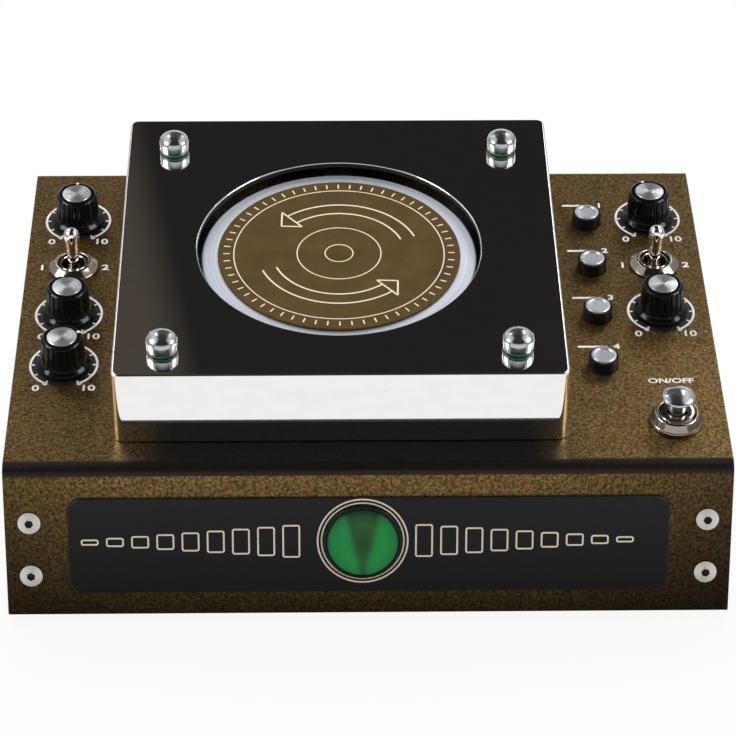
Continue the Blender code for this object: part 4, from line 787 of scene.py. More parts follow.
# Marks round a dial: one small block for each, turned to face the middle
sizes = ("Radius", "First", "Step", "Length", "Width", "Thickness")
marks, given, made = new_tree(
    "marks_round_a_dial",
    {
        "Count": "NodeSocketInt",
        **{size: "NodeSocketFloat" for size in sizes},
        "Material": "NodeSocketMaterial",
    },
)
line = add_node(marks, "GeometryNodeMeshLine", {"Count": given["Count"]})
index = add_node(marks, "GeometryNodeInputIndex")
angle = add_node(
    marks, "ShaderNodeMath", {0: index, 1: given["Step"], 2: given["First"]}, operation="MULTIPLY_ADD"
)
east, north = (add_node(marks, "ShaderNodeMath", {0: angle}, operation=kind) for kind in ("COSINE", "SINE"))
around = add_node(marks, "ShaderNodeCombineXYZ", {0: east, 1: north})
spot = add_node(marks, "ShaderNodeVectorMath", {0: around, "Scale": given["Radius"]}, operation="SCALE")
placed = add_node(marks, "GeometryNodeSetPosition", {"Geometry": line, "Position": spot})
size = add_node(marks, "ShaderNodeCombineXYZ", {0: given["Length"], 1: given["Width"], 2: given["Thickness"]})
block = add_node(marks, "GeometryNodeMeshCube", {"Size": size})
turn = add_node(marks, "ShaderNodeCombineXYZ", {2: angle})
copies = add_node(
    marks, "GeometryNodeInstanceOnPoints", {"Points": placed, "Instance": block, "Rotation": turn}
)
end_tree(marks, made, copies, given["Material"])


def add_marks(bm, place, count, radius, first, step, length, width, material):
    """Adds the marks that the tree makes, in a place, to a print."""
    mesh = grown(
        marks,
        {
            "Count": count,
            "Radius": radius,
            "First": math.radians(first),
            "Step": math.radians(step),
            "Length": length,
            "Width": width,
            "Thickness": INK,
            "Material": material,
        },
    )
    mesh.transform(place @ Matrix.Translation((0, 0, INK / 2)))
    bm.from_mesh(mesh)
    bpy.data.meshes.remove(mesh)


def add_arc(bm, place, radius_outer, radius_inner, first, last, steps=48):
    """Adds a raised arc-shaped stroke, from one angle to another in degrees, to a print."""
    angles = [math.radians(first + (last - first) * k / steps) for k in range(steps + 1)]
    levels = ((radius_outer, 0), (radius_outer, INK), (radius_inner, INK), (radius_inner, 0))
    loops = [
        [bm.verts.new(place @ Vector((r * math.cos(a), r * math.sin(a), z))) for a in angles]
        for r, z in levels
    ]
    for one, two in zip(loops, loops[1:] + loops[:1]):
        for k in range(steps):
            bm.faces.new((one[k], one[k + 1], two[k + 1], two[k]))
    for end in (0, steps):
        bm.faces.new([loop[end] for loop in loops])


def add_shape(bm, outline, place, thickness=INK):
    """Adds a flat shape of that thickness."""
    loops = [[bm.verts.new(place @ Vector((*p, z))) for p in outline] for z in (0, thickness)]
    for loop in loops:
        bm.faces.new(loop)
    for k in range(len(outline)):
        after = (k + 1) % len(outline)
        bm.faces.new((loops[0][k], loops[0][after], loops[1][after], loops[1][k]))


foil_top = drum_axis @ Matrix.Translation((0, 0, LABEL_TOP))
label_print = bmesh.new()
step, block = 360 / STROBE_MARKS, (STROBE_LENGTH, STROBE_WIDTH)
add_marks(label_print, foil_top, STROBE_MARKS, STROBE_RADIUS, 0, step, *block, cream_ink)
for radii in LABEL_RINGS:
    outer, inner = (circle_outline((0, 0), r, 128) for r in radii)
    strip_between(label_print, outer, inner, 0, INK, foil_top)
for first in ARROW_STARTS:
    for outer, inner in ARROW_ARCS:
        add_arc(label_print, foil_top, outer, inner, first, first + ARROW_SWEEP)
    sweep, tip = math.radians(first + ARROW_SWEEP), math.radians(first + ARROW_TIP)
    out, along = Vector((math.cos(sweep), math.sin(sweep))), Vector((math.cos(tip), math.sin(tip)))
    arrow = [out * ARROW_OUTER, along * ARROW_MIDDLE, out * ARROW_INNER]
    for one, two in zip(arrow, arrow[1:] + arrow[:1]):
        half_stroke = (two - one).normalized().orthogonal() * ARROW_STROKE / 2
        stroke = [one - half_stroke, two - half_stroke, two + half_stroke, one + half_stroke]
        add_shape(label_print, stroke, foil_top)
piece("drum_foil_print", outward(label_print), cream_ink, "drum")


# Drum cover
# Folded box of 2 mm steel, its seams ground away, copper and nickel under polished chrome. A round
# window with a rounded lip shows the drum, and its bore is dull black. It drops over four studs.

COVER_WIDTH, COVER_DEPTH, COVER_HEIGHT = 149.6 * mm, 144.6 * mm, 28.4 * mm
COVER_LOW = 0.3 * mm
COVER_SHEET = 2.0 * mm
COVER_FILLET = 0.9 * mm
COVER_CORNER = 3.0 * mm
WINDOW_RADIUS = 48.6 * mm
WINDOW_LIP = 0.45 * mm
WINDOW_LIP_STEPS = 6
STUD_HOLE = 2.3 * mm
STUDS = [(sx * 58.3 * mm, sy * 56.2 * mm) for sx in (-1, 1) for sy in (-1, 1)]
cover_place = panel @ Matrix.Translation((DRUM_X, 85.0 * mm, 0))


def soft_box(width, depth, low, high, radius, place, steps=8, corner=None):
    """Box with rounded top edges, and upright corners rounded by the same radius or another."""
    bm = bmesh.new()
    bmesh.ops.create_cube(bm, size=1)
    bmesh.ops.scale(bm, vec=(width, depth, high - low), verts=bm.verts)
    bmesh.ops.translate(bm, vec=(0, 0, (low + high) / 2), verts=bm.verts)
    standing = [e for e in bm.edges if abs(e.verts[0].co.z - e.verts[1].co.z) > radius]
    bmesh.ops.bevel(bm, geom=standing, offset=corner or radius, segments=steps, profile=0.5, affect="EDGES")
    rim = [e for e in bm.edges if all(v.co.z > high - radius / 2 for v in e.verts) and len(e.link_faces) == 2]
    rim = [e for e in rim if e.calc_face_angle(0) > 1]
    bmesh.ops.bevel(bm, geom=rim, offset=radius, segments=steps, profile=0.5, affect="EDGES")
    outward(bm)
    bmesh.ops.transform(bm, matrix=place, verts=bm.verts)
    return bm


def cut_away(base, cutters):
    """The mesh left when closed shapes are cut from a base."""
    blank, *tools = (in_scene("shape", mesh_of("shape", shape)) for shape in (base, *cutters))
    for tool in tools:
        modifier = blank.modifiers.new("cut", "BOOLEAN")
        modifier.operation = "DIFFERENCE"
        modifier.solver = "EXACT"
        modifier.object = tool
    mesh = plain_mesh(blank)
    for tool in tools:
        bpy.data.objects.remove(tool)
    return mesh


# Polished chrome: mirror, neutral with a cold tint, with a breath of wiping marks in its roughness.
WIPING_MARK = 9 * mm
chrome, tree, shader = new_material("polished_chrome_plate", {"Metallic": 1.0})
coords = add_node(tree, "ShaderNodeTexCoord").outputs["Object"]
wiped = add_node(tree, "ShaderNodeMapping", {"Vector": coords, "Scale": (1, 6, 1)})
wiping = add_node(tree, "ShaderNodeTexNoise", {"Vector": wiped, "Scale": 1 / WIPING_MARK, "Detail": 5.0})
limits = {"From Min": 0.4, "From Max": 0.7, "To Min": 0.01, "To Max": 0.022}
rough = add_node(tree, "ShaderNodeMapRange", {"Value": wiping, **limits})
tint = add_node(tree, "ShaderNodeValToRGB", {"Fac": wiping}, stops=((0.3, "#ecebeb"), (0.7, "#f1f0ef")))
connect(tree, shader, {"Base Color": tint, "Roughness": rough})

body = soft_box(COVER_WIDTH, COVER_DEPTH, COVER_LOW, COVER_HEIGHT, COVER_FILLET, cover_place, 6, COVER_CORNER)
hollow_width, hollow_depth = COVER_WIDTH - 2 * COVER_SHEET, COVER_DEPTH - 2 * COVER_SHEET
hollow_top, hollow_corner = COVER_HEIGHT - COVER_SHEET, COVER_CORNER - COVER_SHEET
hollow = soft_box(hollow_width, hollow_depth, -3 * mm, hollow_top, 0.5 * mm, cover_place, 4, hollow_corner)
reach = WINDOW_RADIUS + WINDOW_LIP
lip = []
for k in range(WINDOW_LIP_STEPS + 1):
    angle = k / WINDOW_LIP_STEPS * math.pi / 2
    drop = WINDOW_LIP * (1 - math.cos(angle))
    lip.append((reach - WINDOW_LIP * math.sin(angle), COVER_HEIGHT - drop))
above, below = COVER_HEIGHT + 2 * mm, COVER_HEIGHT - 4 * mm
window_profile = [(0, above), (reach, above), *lip, (WINDOW_RADIUS, below), (0, below)]
cutters = [hollow, turned(window_profile, 192, drum_axis)]
for x, y in STUDS:
    hole = [(0, 31 * mm), (STUD_HOLE, 31 * mm), (STUD_HOLE, 24 * mm), (0, 24 * mm)]
    cutters.append(turned(hole, 32, drum_axis @ Matrix.Translation((x, y, 0))))
cover_mesh = cut_away(body, cutters)
to_drum = drum_axis.inverted()
for polygon in cover_mesh.polygons:
    x, y, level = to_drum @ polygon.center
    in_window = WINDOW_RADIUS - 0.2 * mm < math.hypot(x, y) < WINDOW_RADIUS + 0.1 * mm
    polygon.material_index = 1 if in_window and level < COVER_HEIGHT - WINDOW_LIP else 0
flat_faced(piece("chrome_cover", cover_mesh, [chrome, dull_black_painted_shade], replaces=["drum_cover"]))


# Thumb nuts
# Four domed nuts hold the cover, turned from brass and chromed, each on a green nylon washer.

thumb_nut_profile = [
    *dome(3.4 * mm, 6.6 * mm, 0.8 * mm, 6),
    *in_mm((4.1, 6.15), (4.7, 5.6), (5.05, 5.0), (5.2, 4.3), (5.2, 1.3), (2.3, 1.3), (2.3, 5.6), (0, 5.6)),
]
washer_profile = in_mm((2.3, 0.3), (5.0, 0.3), (5.0, 1.2), (2.3, 1.2), (2.3, 0.3))
# Chromed turned brass: grey and bright in turn, with rings about the axis that spread the highlight.
turned_chrome = grained_material(
    "chromed_turned_brass", ("#a7a9ac", "#c2c4c7"), (0.15, 0.2), 0.6, 0.001 * mm,
    {"Metallic": 1.0, "Anisotropic": 0.4}, uv=True, stretch=(0.8, 2.0, 1.0),
)
# Green nylon: half gloss, evenly dyed.
green_nylon = grained_material(
    "dyed_green_nylon", ("#0f4a2c", "#19643c"), (0.35, 0.45), 0.6 * mm, 0.01 * mm,
    {"Specular IOR Level": 0.5},
)
for name, (x, y) in zip(CORNER_NAMES, STUDS):
    place = drum_axis @ Matrix.Translation((x, y, COVER_HEIGHT))
    nut = turned(eased(thumb_nut_profile, 0.3 * mm), 64, place)
    piece(f"thumb_nut_{name}", nut, turned_chrome, replaces=[f"cover_nut_{name}"])
    washer = turned(eased(washer_profile, 0.25 * mm), 64, place)
    piece(f"nut_washer_{name}", washer, green_nylon)


# Panel print
# White screened print on the powder coat: a black-backed dial round each knob with its scale and plain
# numbers, numbers beside the toggles and the buttons, and ON/OFF at the footswitch.

# Places on the panel in millimetres, and how far each knob is turned from the middle in degrees
KNOBS = {
    "left_rear": (-103.1, 134.5, 0),
    "left_middle": (-103.1, 80.5, -19),
    "left_front": (-103.1, 52.9, 65),
    "right_rear": (103.1, 134.5, -20),
    "right_middle": (103.1, 80.5, 12),
}
TOGGLES = {"left": (-103.1, 106.9), "right": (103.1, 106.9)}
BUTTONS = [(80.75, 132.4 - 27.1 * k) for k in range(4)]
FOOTSWITCH = (102.8, 21.7)
PRINT_GAP = 0.02
DIAL_RADIUS = 11.8 * mm
DIAL_STROKE = 0.8 * mm
DIAL_FIRST, DIAL_SWEEP, DIAL_STEPS = -60, 300, 10
DIAL_BACK = (11.3 * mm, 6.2 * mm)
MARK_RADIUS, MARK_LENGTH, MARK_WIDTH = 10.7 * mm, 1.7 * mm, 0.6 * mm
END_DOT_RADIUS, END_DOT = 11.5 * mm, 0.85 * mm
DIAL_NUMBER_X, DIAL_NUMBER_Y = 8.8, -12.4
TOGGLE_NUMBER_X = 11.2
BUTTON_LABEL_Y, BUTTON_NUMBER_X, BUTTON_RULE_X = 10.1, 5.4, -2.9 * mm
RULE_WIDTH, RULE_HEIGHT, RULE_CORNER = 10.4 * mm, 1.0 * mm, 0.3 * mm
FOOTSWITCH_TEXT_X, FOOTSWITCH_TEXT_Y = 0.2, 21.0
TEXT_HEIGHT, BUTTON_TEXT, FOOTSWITCH_TEXT = 2.9 * mm, 2.6 * mm, 2.4 * mm
CAPITAL_SHARE, BOLD_SHARE = 0.7, 0.035


def on_panel(x, y, height=0.0):
    """Place on the panel, in millimetres."""
    return panel @ Matrix.Translation((x * mm, y * mm, height * mm))


def add_text(bm, words, x, y, height=TEXT_HEIGHT, width=1.25):
    """Adds words or numbers, centred on a place of the panel."""
    curve = bpy.data.curves.new("print", "FONT")
    curve.body = words
    curve.size = height / CAPITAL_SHARE
    curve.align_x = "CENTER"
    curve.align_y = "CENTER"
    curve.offset = BOLD_SHARE * height
    curve.extrude = INK / 2
    curve.resolution_u = 4
    mesh = plain_mesh(in_scene("print", curve))
    mesh.transform(on_panel(x, y) @ Matrix.Diagonal((width, 1, 1, 1)) @ Matrix.Translation((0, 0, INK)))
    bm.from_mesh(mesh)
    bpy.data.meshes.remove(mesh)


# White screen ink, slightly worn by the grain of the coat below it; black ink under each dial.
white_ink = grained_material(
    "white_screen_ink", ("#c9c6bf", "#eeece6"), (0.45, 0.6), 0.45 * mm, 0.01 * mm, {"Specular IOR Level": 0.4}
)
black_ink = grained_material(
    "black_screen_ink", ("#0b0b0b", "#161513"), (0.4, 0.55), 0.6 * mm, 0.01 * mm, {"Specular IOR Level": 0.4}
)
white_print, black_print = bmesh.new(), bmesh.new()
step, dial_last = DIAL_SWEEP / DIAL_STEPS, DIAL_FIRST + DIAL_SWEEP
for x, y, _ in KNOBS.values():
    face = on_panel(x, y, PRINT_GAP)
    outer, inner = (circle_outline((0, 0), r) for r in DIAL_BACK)
    strip_between(black_print, outer, inner, 0, INK / 2, face)
    add_arc(white_print, face, DIAL_RADIUS, DIAL_RADIUS - DIAL_STROKE, DIAL_FIRST, dial_last, 96)
    block = (MARK_LENGTH, MARK_WIDTH)
    add_marks(white_print, face, DIAL_STEPS + 1, MARK_RADIUS, DIAL_FIRST, step, *block, white_ink)
    for end in (DIAL_FIRST, dial_last):
        dot = Vector((math.cos(math.radians(end)), math.sin(math.radians(end)))) * END_DOT_RADIUS
        add_shape(white_print, circle_outline(dot, END_DOT, 24), face)
    add_text(white_print, "0", x - DIAL_NUMBER_X, y + DIAL_NUMBER_Y)
    add_text(white_print, "10", x + DIAL_NUMBER_X, y + DIAL_NUMBER_Y)
for x, y in TOGGLES.values():
    add_text(white_print, "1", x - TOGGLE_NUMBER_X, y)
    add_text(white_print, "2", x + TOGGLE_NUMBER_X, y)
for k, (x, y) in enumerate(BUTTONS):
    rule = rounded_outline((BUTTON_RULE_X, 0), RULE_WIDTH, RULE_HEIGHT, RULE_CORNER, 3)
    add_shape(white_print, rule, on_panel(x, y + BUTTON_LABEL_Y, PRINT_GAP))
    add_text(white_print, str(k + 1), x + BUTTON_NUMBER_X, y + BUTTON_LABEL_Y, BUTTON_TEXT)
x, y = FOOTSWITCH
add_text(white_print, "ON/OFF", x + FOOTSWITCH_TEXT_X, y + FOOTSWITCH_TEXT_Y, FOOTSWITCH_TEXT)
piece("panel_print", outward(white_print), white_ink)
piece("dial_backs", outward(black_print), black_ink)


# Knobs and potentiometers
# Five fluted, skirted knobs moulded in glossy black phenolic, each with a spun aluminium disc let into
# its top and a white pointer, pushed on the shaft of a potentiometer under the panel.

KNOB_FLUTES = 20
FLUTE_DEPTH, FLUTE_SHARPNESS = 0.6 * mm, 5
FLUTE_LOW, FLUTE_HIGH = 2.7 * mm, 12.0 * mm
FLUTE_RUN_IN, FLUTE_RUN_OUT = 0.8 * mm, 1.0 * mm
GRIP_INSIDE = 6.7 * mm
POINTER_WIDTH = 1.0 * mm

knob_profile = in_mm(
    (0, 12.1), (5.15, 12.1), (5.15, 12.4), (6.3, 12.4), (7.1, 11.7), (7.8, 3.1), (8.0, 2.7),
    (9.2, 1.6), (9.2, 0.6), (6.6, 0.6), (6.6, 4.0), (3.0, 4.0), (3.0, -9.0), (0, -9.0),
)
disc_profile = in_mm((0, 12.5), (4.95, 12.5), (5.05, 12.35), (5.05, 12.15), (0, 12.15))
pointer_outline = in_mm(
    (5.4, 12.1), (5.5, 12.5), (6.35, 12.5), (7.2, 11.75), (7.42, 9.6), (7.0, 9.6), (6.7, 11.6)
)


def fluted(radius, height, angle):
    """Radius of the knob's grip: narrow grooves between wide ribs, that run out in the skirt and the top."""
    run_in = min(1, max(0, (height - FLUTE_LOW) / FLUTE_RUN_IN))
    share = run_in * min(1, max(0, (FLUTE_HIGH - height) / FLUTE_RUN_OUT))
    if radius < GRIP_INSIDE or not share:
        return radius
    return radius - FLUTE_DEPTH * share * max(0, math.cos(KNOB_FLUTES * angle)) ** FLUTE_SHARPNESS


# Moulded phenolic: jet black with a hard gloss.
phenolic = grained_material(
    "moulded_black_phenolic", ("#09090a", "#0e0e0f"), (0.08, 0.12), 1.2 * mm, 0.002 * mm,
    {"Specular IOR Level": 0.18},
)
# Spun aluminium: grooves round the middle, too fine to see, throw the light out in two bright fans.
spun = grained_material(
    "spun_aluminium", ("#e2e4e7", "#eceef0"), (0.27, 0.29), 0.25, 0.0001 * mm,
    {"Metallic": 1.0, "Anisotropic": 0.9}, uv=True, stretch=(0.2, 0.5, 1.0),
)
dress(zinc, *(f"{name}_pot" for name in KNOBS))
for name, (x, y, turned_by) in KNOBS.items():
    place = on_panel(x, y)
    knob = f"{name}_knob"
    grip = turned(eased(knob_profile, 0.3 * mm), 320, place, fluted)
    piece(f"{name}_grip", grip, phenolic, knob, [knob])
    piece(f"{name}_disc", turned(eased(disc_profile, 0.08 * mm), 64, place), spun, knob)
    pointer = bmesh.new()
    along = place @ Matrix.Rotation(math.radians(90 - turned_by), 4, "Z") @ upright
    beside = Matrix.Translation((0, 0, -POINTER_WIDTH / 2))
    add_shape(pointer, pointer_outline, along @ beside, POINTER_WIDTH)
    piece(f"{name}_pointer", outward(pointer), white_ink, knob)


# Toggle switches
# Two bat-handle toggle switches: a chromed lever on a ball, in a threaded bush that a conical nickel
# dress nut clamps to the panel.

PIVOT_HEIGHT = -2.5
BALL_RADIUS, BALL_STEPS, BALL_STEP = 3.7 * mm, 10, 0.26
TIP_RADIUS, TIP_HEIGHT, TIP_STEPS = 2.75 * mm, 16.95 * mm, 10


def boxed(round_below, half_x, half_y):
    """Radius of a shape that is a rectangle outside that radius, and round within it."""
    def reach(radius, height, angle):
        if radius <= round_below:
            return radius
        return min(half_x / max(abs(math.cos(angle)), 1e-6), half_y / max(abs(math.sin(angle)), 1e-6))
    return reach


ball_angles = [math.pi - k * BALL_STEP for k in range(1, BALL_STEPS)]
tip_angles = [k * math.pi / 2 / TIP_STEPS for k in range(TIP_STEPS)]
lever_profile = [
    (0, -BALL_RADIUS),
    *[(BALL_RADIUS * math.sin(a), BALL_RADIUS * math.cos(a)) for a in ball_angles],
    *in_mm((2.0, 5.0), (2.08, 8.0), (2.4, 12.5), (2.7, 15.9)),
    *[(TIP_RADIUS * math.cos(a), TIP_HEIGHT + TIP_RADIUS * math.sin(a)) for a in tip_angles],
    (0, TIP_HEIGHT + TIP_RADIUS),
]
toggle_bush_profile = in_mm(
    (0, -6.5), (4.0, -6.5), (4.0, 2.4), (4.2, 2.6), (4.8, 2.6),
    (5.0, 2.4), (5.0, -2.3), (6.4, -2.3), (6.4, -15.3), (0, -15.3),
)
toggle_nut_profile = in_mm(
    (5.3, 0.3), (8.7, 0.3), (8.7, 1.05), (8.2, 1.35), (6.4, 2.95),
    (5.95, 3.1), (5.55, 3.1), (5.3, 2.8), (5.3, 0.3),
)
# Polished nickel: mirror with a warm tint, softened by the rings of its turning.
polished_nickel = grained_material(
    "polished_nickel", ("#877f74", "#a89f92"), (0.08, 0.14), 0.7, 0.002 * mm, {"Metallic": 1.0},
    uv=True, stretch=(1.0, 2.0, 1.0),
)
for hand, (x, y) in TOGGLES.items():
    name = f"{hand}_toggle"
    lever = turned(lever_profile, 48, on_panel(x, y, PIVOT_HEIGHT))
    piece(f"{name}_bat", lever, chrome, f"{name}_lever", [f"{name}_lever"])
    bush = turned(toggle_bush_profile, 96, on_panel(x, y), boxed(5.5 * mm, 6.5 * mm, 9.0 * mm))
    piece(f"{name}_bush", bush, polished_nickel, replaces=[f"{name}_switch"])
    nut = turned(eased(toggle_nut_profile, 0.22 * mm), 96, on_panel(x, y))
    piece(f"{name}_dress_nut", nut, polished_nickel, replaces=[f"{name}_nut"])


# Push buttons
# Four push switches in a row on one circuit board under the panel. Each has a satin silver cap with a
# dished top, in a moulded black collar.

BOARD_WIDTH, BOARD_LENGTH = 18.0 * mm, 101.3 * mm
BOARD_LOW, BOARD_HIGH = -13.4 * mm, -11.9 * mm

cap_profile = in_mm(
    (0, 4.6), (3.0, 4.66), (3.4, 5.1), (3.9, 5.1), (4.3, 4.8), (4.3, 3.4), (2.0, 3.4), (2.0, -4.0), (0, -4.0)
)
collar_profile = in_mm(
    (0, -11.8), (6.0, -11.8), (6.0, -2.3), (5.1, -2.3), (5.1, 4.3), (5.0, 4.5),
    (4.6, 4.5), (4.6, 1.6), (2.3, 1.6), (2.3, -5.8), (0, -5.8),
)


def joined(*shapes):
    """One mesh from several, each with its own material number."""
    bm = bmesh.new()
    for number, shape in enumerate(shapes):
        for one in shape if isinstance(shape, list) else [shape]:
            mesh = mesh_of("part", one)
            for polygon in mesh.polygons:
                polygon.material_index = number
            bm.from_mesh(mesh)
            bpy.data.meshes.remove(mesh)
    return bm


# Satin silver: plated plastic, cool grey, with a soft highlight.
satin_silver = grained_material(
    "satin_silver_plate", ("#aeb2b8", "#c4c8cd"), (0.3, 0.4), 0.5 * mm, 0.002 * mm, {"Metallic": 0.72}
)
# Circuit board: green solder resist over the copper, half gloss.
solder_resist = grained_material(
    "green_solder_resist", ("#153b27", "#235539"), (0.35, 0.5), 1.5 * mm, 0.01 * mm,
    {"Specular IOR Level": 0.5},
)
square = boxed(5.5 * mm, 6.0 * mm, 6.0 * mm)
collars = [turned(eased(collar_profile, 0.12 * mm), 96, on_panel(x, y), square) for x, y in BUTTONS]
board_place = on_panel(BUTTONS[0][0], (BUTTONS[0][1] + BUTTONS[-1][1]) / 2)
board = soft_box(BOARD_WIDTH, BOARD_LENGTH, BOARD_LOW, BOARD_HIGH, 0.3 * mm, board_place, 2)
piece(
    "button_collars_and_board",
    joined(collars, board),
    [black_abs, solder_resist],
    replaces=["playback_switch_board"],
)
for k, (x, y) in enumerate(BUTTONS):
    name = f"playback_button_{k + 1}"
    cap = turned(eased(cap_profile, 0.15 * mm), 64, on_panel(x, y))
    piece(f"button_cap_{k + 1}", cap, satin_silver, name, [name])


# Footswitch
# Chromed mushroom plunger in a threaded bush, clamped to the panel by a conical dress nut.

THREAD_TOP, THREAD_RADIUS, THREAD_DEPTH = 4.7, 5.9, 0.3
THREAD_STEP, THREAD_STEPS = 0.35, 20

plunger_profile = [
    *dome(5.3 * mm, 11.4 * mm, 1.5 * mm, 10),
    *in_mm((5.6, 10.9), (5.6, 10.5), (5.3, 10.3), (3.0, 10.3), (3.0, -8.0), (0, -8.0)),
]
thread = [(THREAD_RADIUS - k % 2 * THREAD_DEPTH, THREAD_TOP - k * THREAD_STEP) for k in range(THREAD_STEPS)]
footswitch_bush_profile = in_mm(
    (0, -12.3), (3.3, -12.3), (3.3, 4.5), (3.6, 4.8), (5.6, 4.8), *thread,
    (5.9, -2.3), (8.5, -2.3), (8.5, -20.3), (0, -20.3),
)
footswitch_nut_profile = in_mm(
    (6.2, 0.3), (8.9, 0.3), (8.9, 1.5), (8.5, 1.9), (7.4, 4.1), (7.0, 4.4), (6.4, 4.4), (6.2, 4.2), (6.2, 0.3)
)
place = on_panel(*FOOTSWITCH)
plunger = turned(eased(plunger_profile, 0.25 * mm), 64, place)
piece("footswitch_cap", plunger, turned_chrome, "footswitch_plunger", ["footswitch_button"])
bush = turned(footswitch_bush_profile, 96, place, boxed(6.5 * mm, 8.5 * mm, 8.5 * mm))
piece("footswitch_bush", bush, polished_nickel, replaces=["footswitch_body"])
nut = turned(eased(footswitch_nut_profile, 0.25 * mm), 96, place)
piece("footswitch_dress_nut", nut, polished_nickel, replaces=["footswitch_nut"])


# Sockets and main board
# Two 6.35 mm jacks and a power inlet in the back, moulded black bodies with nickel nuts, and the main
# circuit board on its standoffs inside the case. Plain arrows by the jacks show in and out.

SOCKET_HEIGHT = 45.0 * mm
SOCKETS = {"input_jack": -60.0 * mm, "output_jack": -30.0 * mm, "power_inlet": 60.0 * mm}
SLEEVES = {"input_jack": 5.3 * mm, "output_jack": 5.3 * mm, "power_inlet": 5.6 * mm}
NUT_RADIUS, NUT_LOW, NUT_THICKNESS = 7.2 * mm, 0.3 * mm, 2.4 * mm
ARROW_RISE = 13.5 * mm

jack_profile = in_mm(
    (0, -16.1), (3.4, -16.1), (3.4, 3.6), (3.8, 3.9), (4.9, 3.9),
    (5.2, 3.6), (5.2, -2.3), (7.75, -2.3), (7.75, -24.3), (0, -24.3),
)
inlet_profile = in_mm(
    (0, 2.9), (0.9, 2.8), (1.05, 2.5), (1.05, -6.6), (3.2, -6.6), (3.2, 3.6), (3.5, 3.9),
    (5.2, 3.9), (5.5, 3.6), (5.5, -2.3), (7.75, -2.3), (7.75, -24.3), (0, -24.3),
)


def hexagon_outside(bore):
    """Radius of a six-sided nut with a round bore."""
    def reach(radius, height, angle):
        if radius < bore:
            return radius
        return radius * math.cos(math.pi / 6) / math.cos(angle % (math.pi / 3) - math.pi / 6)
    return reach


for name, x in SOCKETS.items():
    place = back @ Matrix.Translation((x, SOCKET_HEIGHT, 0))
    profile = eased(inlet_profile, 0.12 * mm) if name == "power_inlet" else eased(jack_profile, 0.15 * mm)
    body = turned(profile, 96, place, boxed(6.5 * mm, 7.75 * mm, 8.25 * mm))
    piece(f"{name}_socket", body, black_abs, replaces=[name])
    bore, top = SLEEVES[name], NUT_LOW + NUT_THICKNESS
    nut_profile = [
        (bore, NUT_LOW),
        (NUT_RADIUS, NUT_LOW),
        (NUT_RADIUS, top - 0.4 * mm),
        (NUT_RADIUS - 0.7 * mm, top),
        (bore, top),
        (bore, NUT_LOW),
    ]
    nut = turned(nut_profile, 72, place, hexagon_outside(bore + 0.2 * mm))
    piece(f"{name}_nut", nut, nickel)
arrows = bmesh.new()
shaft = in_mm((-0.4, -2.4), (0.4, -2.4), (0.4, 0.6), (-0.4, 0.6))
head = in_mm((-1.7, 0.6), (1.7, 0.6), (0, 2.9))
for name, way in (("input_jack", -1), ("output_jack", 1)):
    above = Matrix.Translation((SOCKETS[name], SOCKET_HEIGHT + ARROW_RISE, PRINT_GAP * mm))
    for outline in (shaft, head):
        add_shape(arrows, outline, back @ above @ Matrix.Diagonal((1, way, 1, 1)))
piece("socket_arrows", outward(arrows), white_ink)
dress(solder_resist, "main_board")


# Studio
# White sweep, four soft lamps and an even white surrounding for matt surfaces. Metal mirrors white walls
# that end low under a dark ceiling, lowest in front, with a fading card at each side, a small bright one
# at each front corner and a dim wall behind.

GROUND_NEAR, GROUND_FAR = 0.92, 1.0
GROUND_FADE_START, GROUND_FADE_END = 0.14, 0.45
SHADOW_START, SHADOW_END = 4 * mm, 28 * mm
FILL, DARK_ROOM = 0.80, 0.03
WALL_TOP, WALL_TOP_BEFORE, FADE = 0.34, 0.1, 0.33  # sines of the angle over the horizon
IN_FRONT, BESIDE = -0.75, -0.45

sweep = bmesh.new()
bmesh.ops.create_grid(sweep, x_segments=2, y_segments=2, size=6.0)
floor = in_scene("floor", mesh_of("floor", sweep))
# White paper sweep: matt; the camera sees it almost pure white, lit by itself
paper, tree, shader = new_material(
    "white_sweep", {"Base Color": linear("#dcdcdc"), "Roughness": 0.9, "Specular IOR Level": 0.1}
)
rays = add_node(tree, "ShaderNodeLightPath").outputs
spot = add_node(tree, "ShaderNodeTexCoord").outputs["Object"]
away = add_node(tree, "ShaderNodeVectorMath", {0: spot}, operation="LENGTH").outputs["Value"]
limits = {
    "From Min": GROUND_FADE_START,
    "From Max": GROUND_FADE_END,
    "To Min": GROUND_NEAR,
    "To Max": GROUND_FAR,
}
to_camera = add_node(tree, "ShaderNodeMapRange", {"Value": away, **limits})
# Metal sees the dark of the shadow close to the case
half_case = (CASE_WIDTH / 2, CASE_DEPTH / 2, 0)
outside = add_node(tree, "ShaderNodeVectorMath", {0: spot}, operation="ABSOLUTE")
for operation, by in (("SUBTRACT", half_case), ("MAXIMUM", (0, 0, 0))):
    outside = add_node(tree, "ShaderNodeVectorMath", {0: outside, 1: by}, operation=operation)
gap = add_node(tree, "ShaderNodeVectorMath", {0: outside}, operation="LENGTH").outputs["Value"]
limits = {"From Min": SHADOW_START, "From Max": SHADOW_END}
to_metal = add_node(tree, "ShaderNodeMapRange", {"Value": gap, **limits}, interpolation_type="SMOOTHSTEP")
camera_share = add_node(
    tree, "ShaderNodeMath", {0: to_camera, 1: rays["Is Camera Ray"]}, operation="MULTIPLY"
)
share = add_node(
    tree, "ShaderNodeMath", {0: to_metal, 1: rays["Is Glossy Ray"], 2: camera_share}, operation="MULTIPLY_ADD"
)
white = add_node(tree, "ShaderNodeEmission", {"Color": (1, 1, 1, 1), "Strength": 1.0})
blend = add_node(tree, "ShaderNodeMixShader", {0: share, 1: shader, 2: white})
connect(tree, tree.nodes["Material Output"], {"Surface": blend})
floor.data.materials.append(paper)


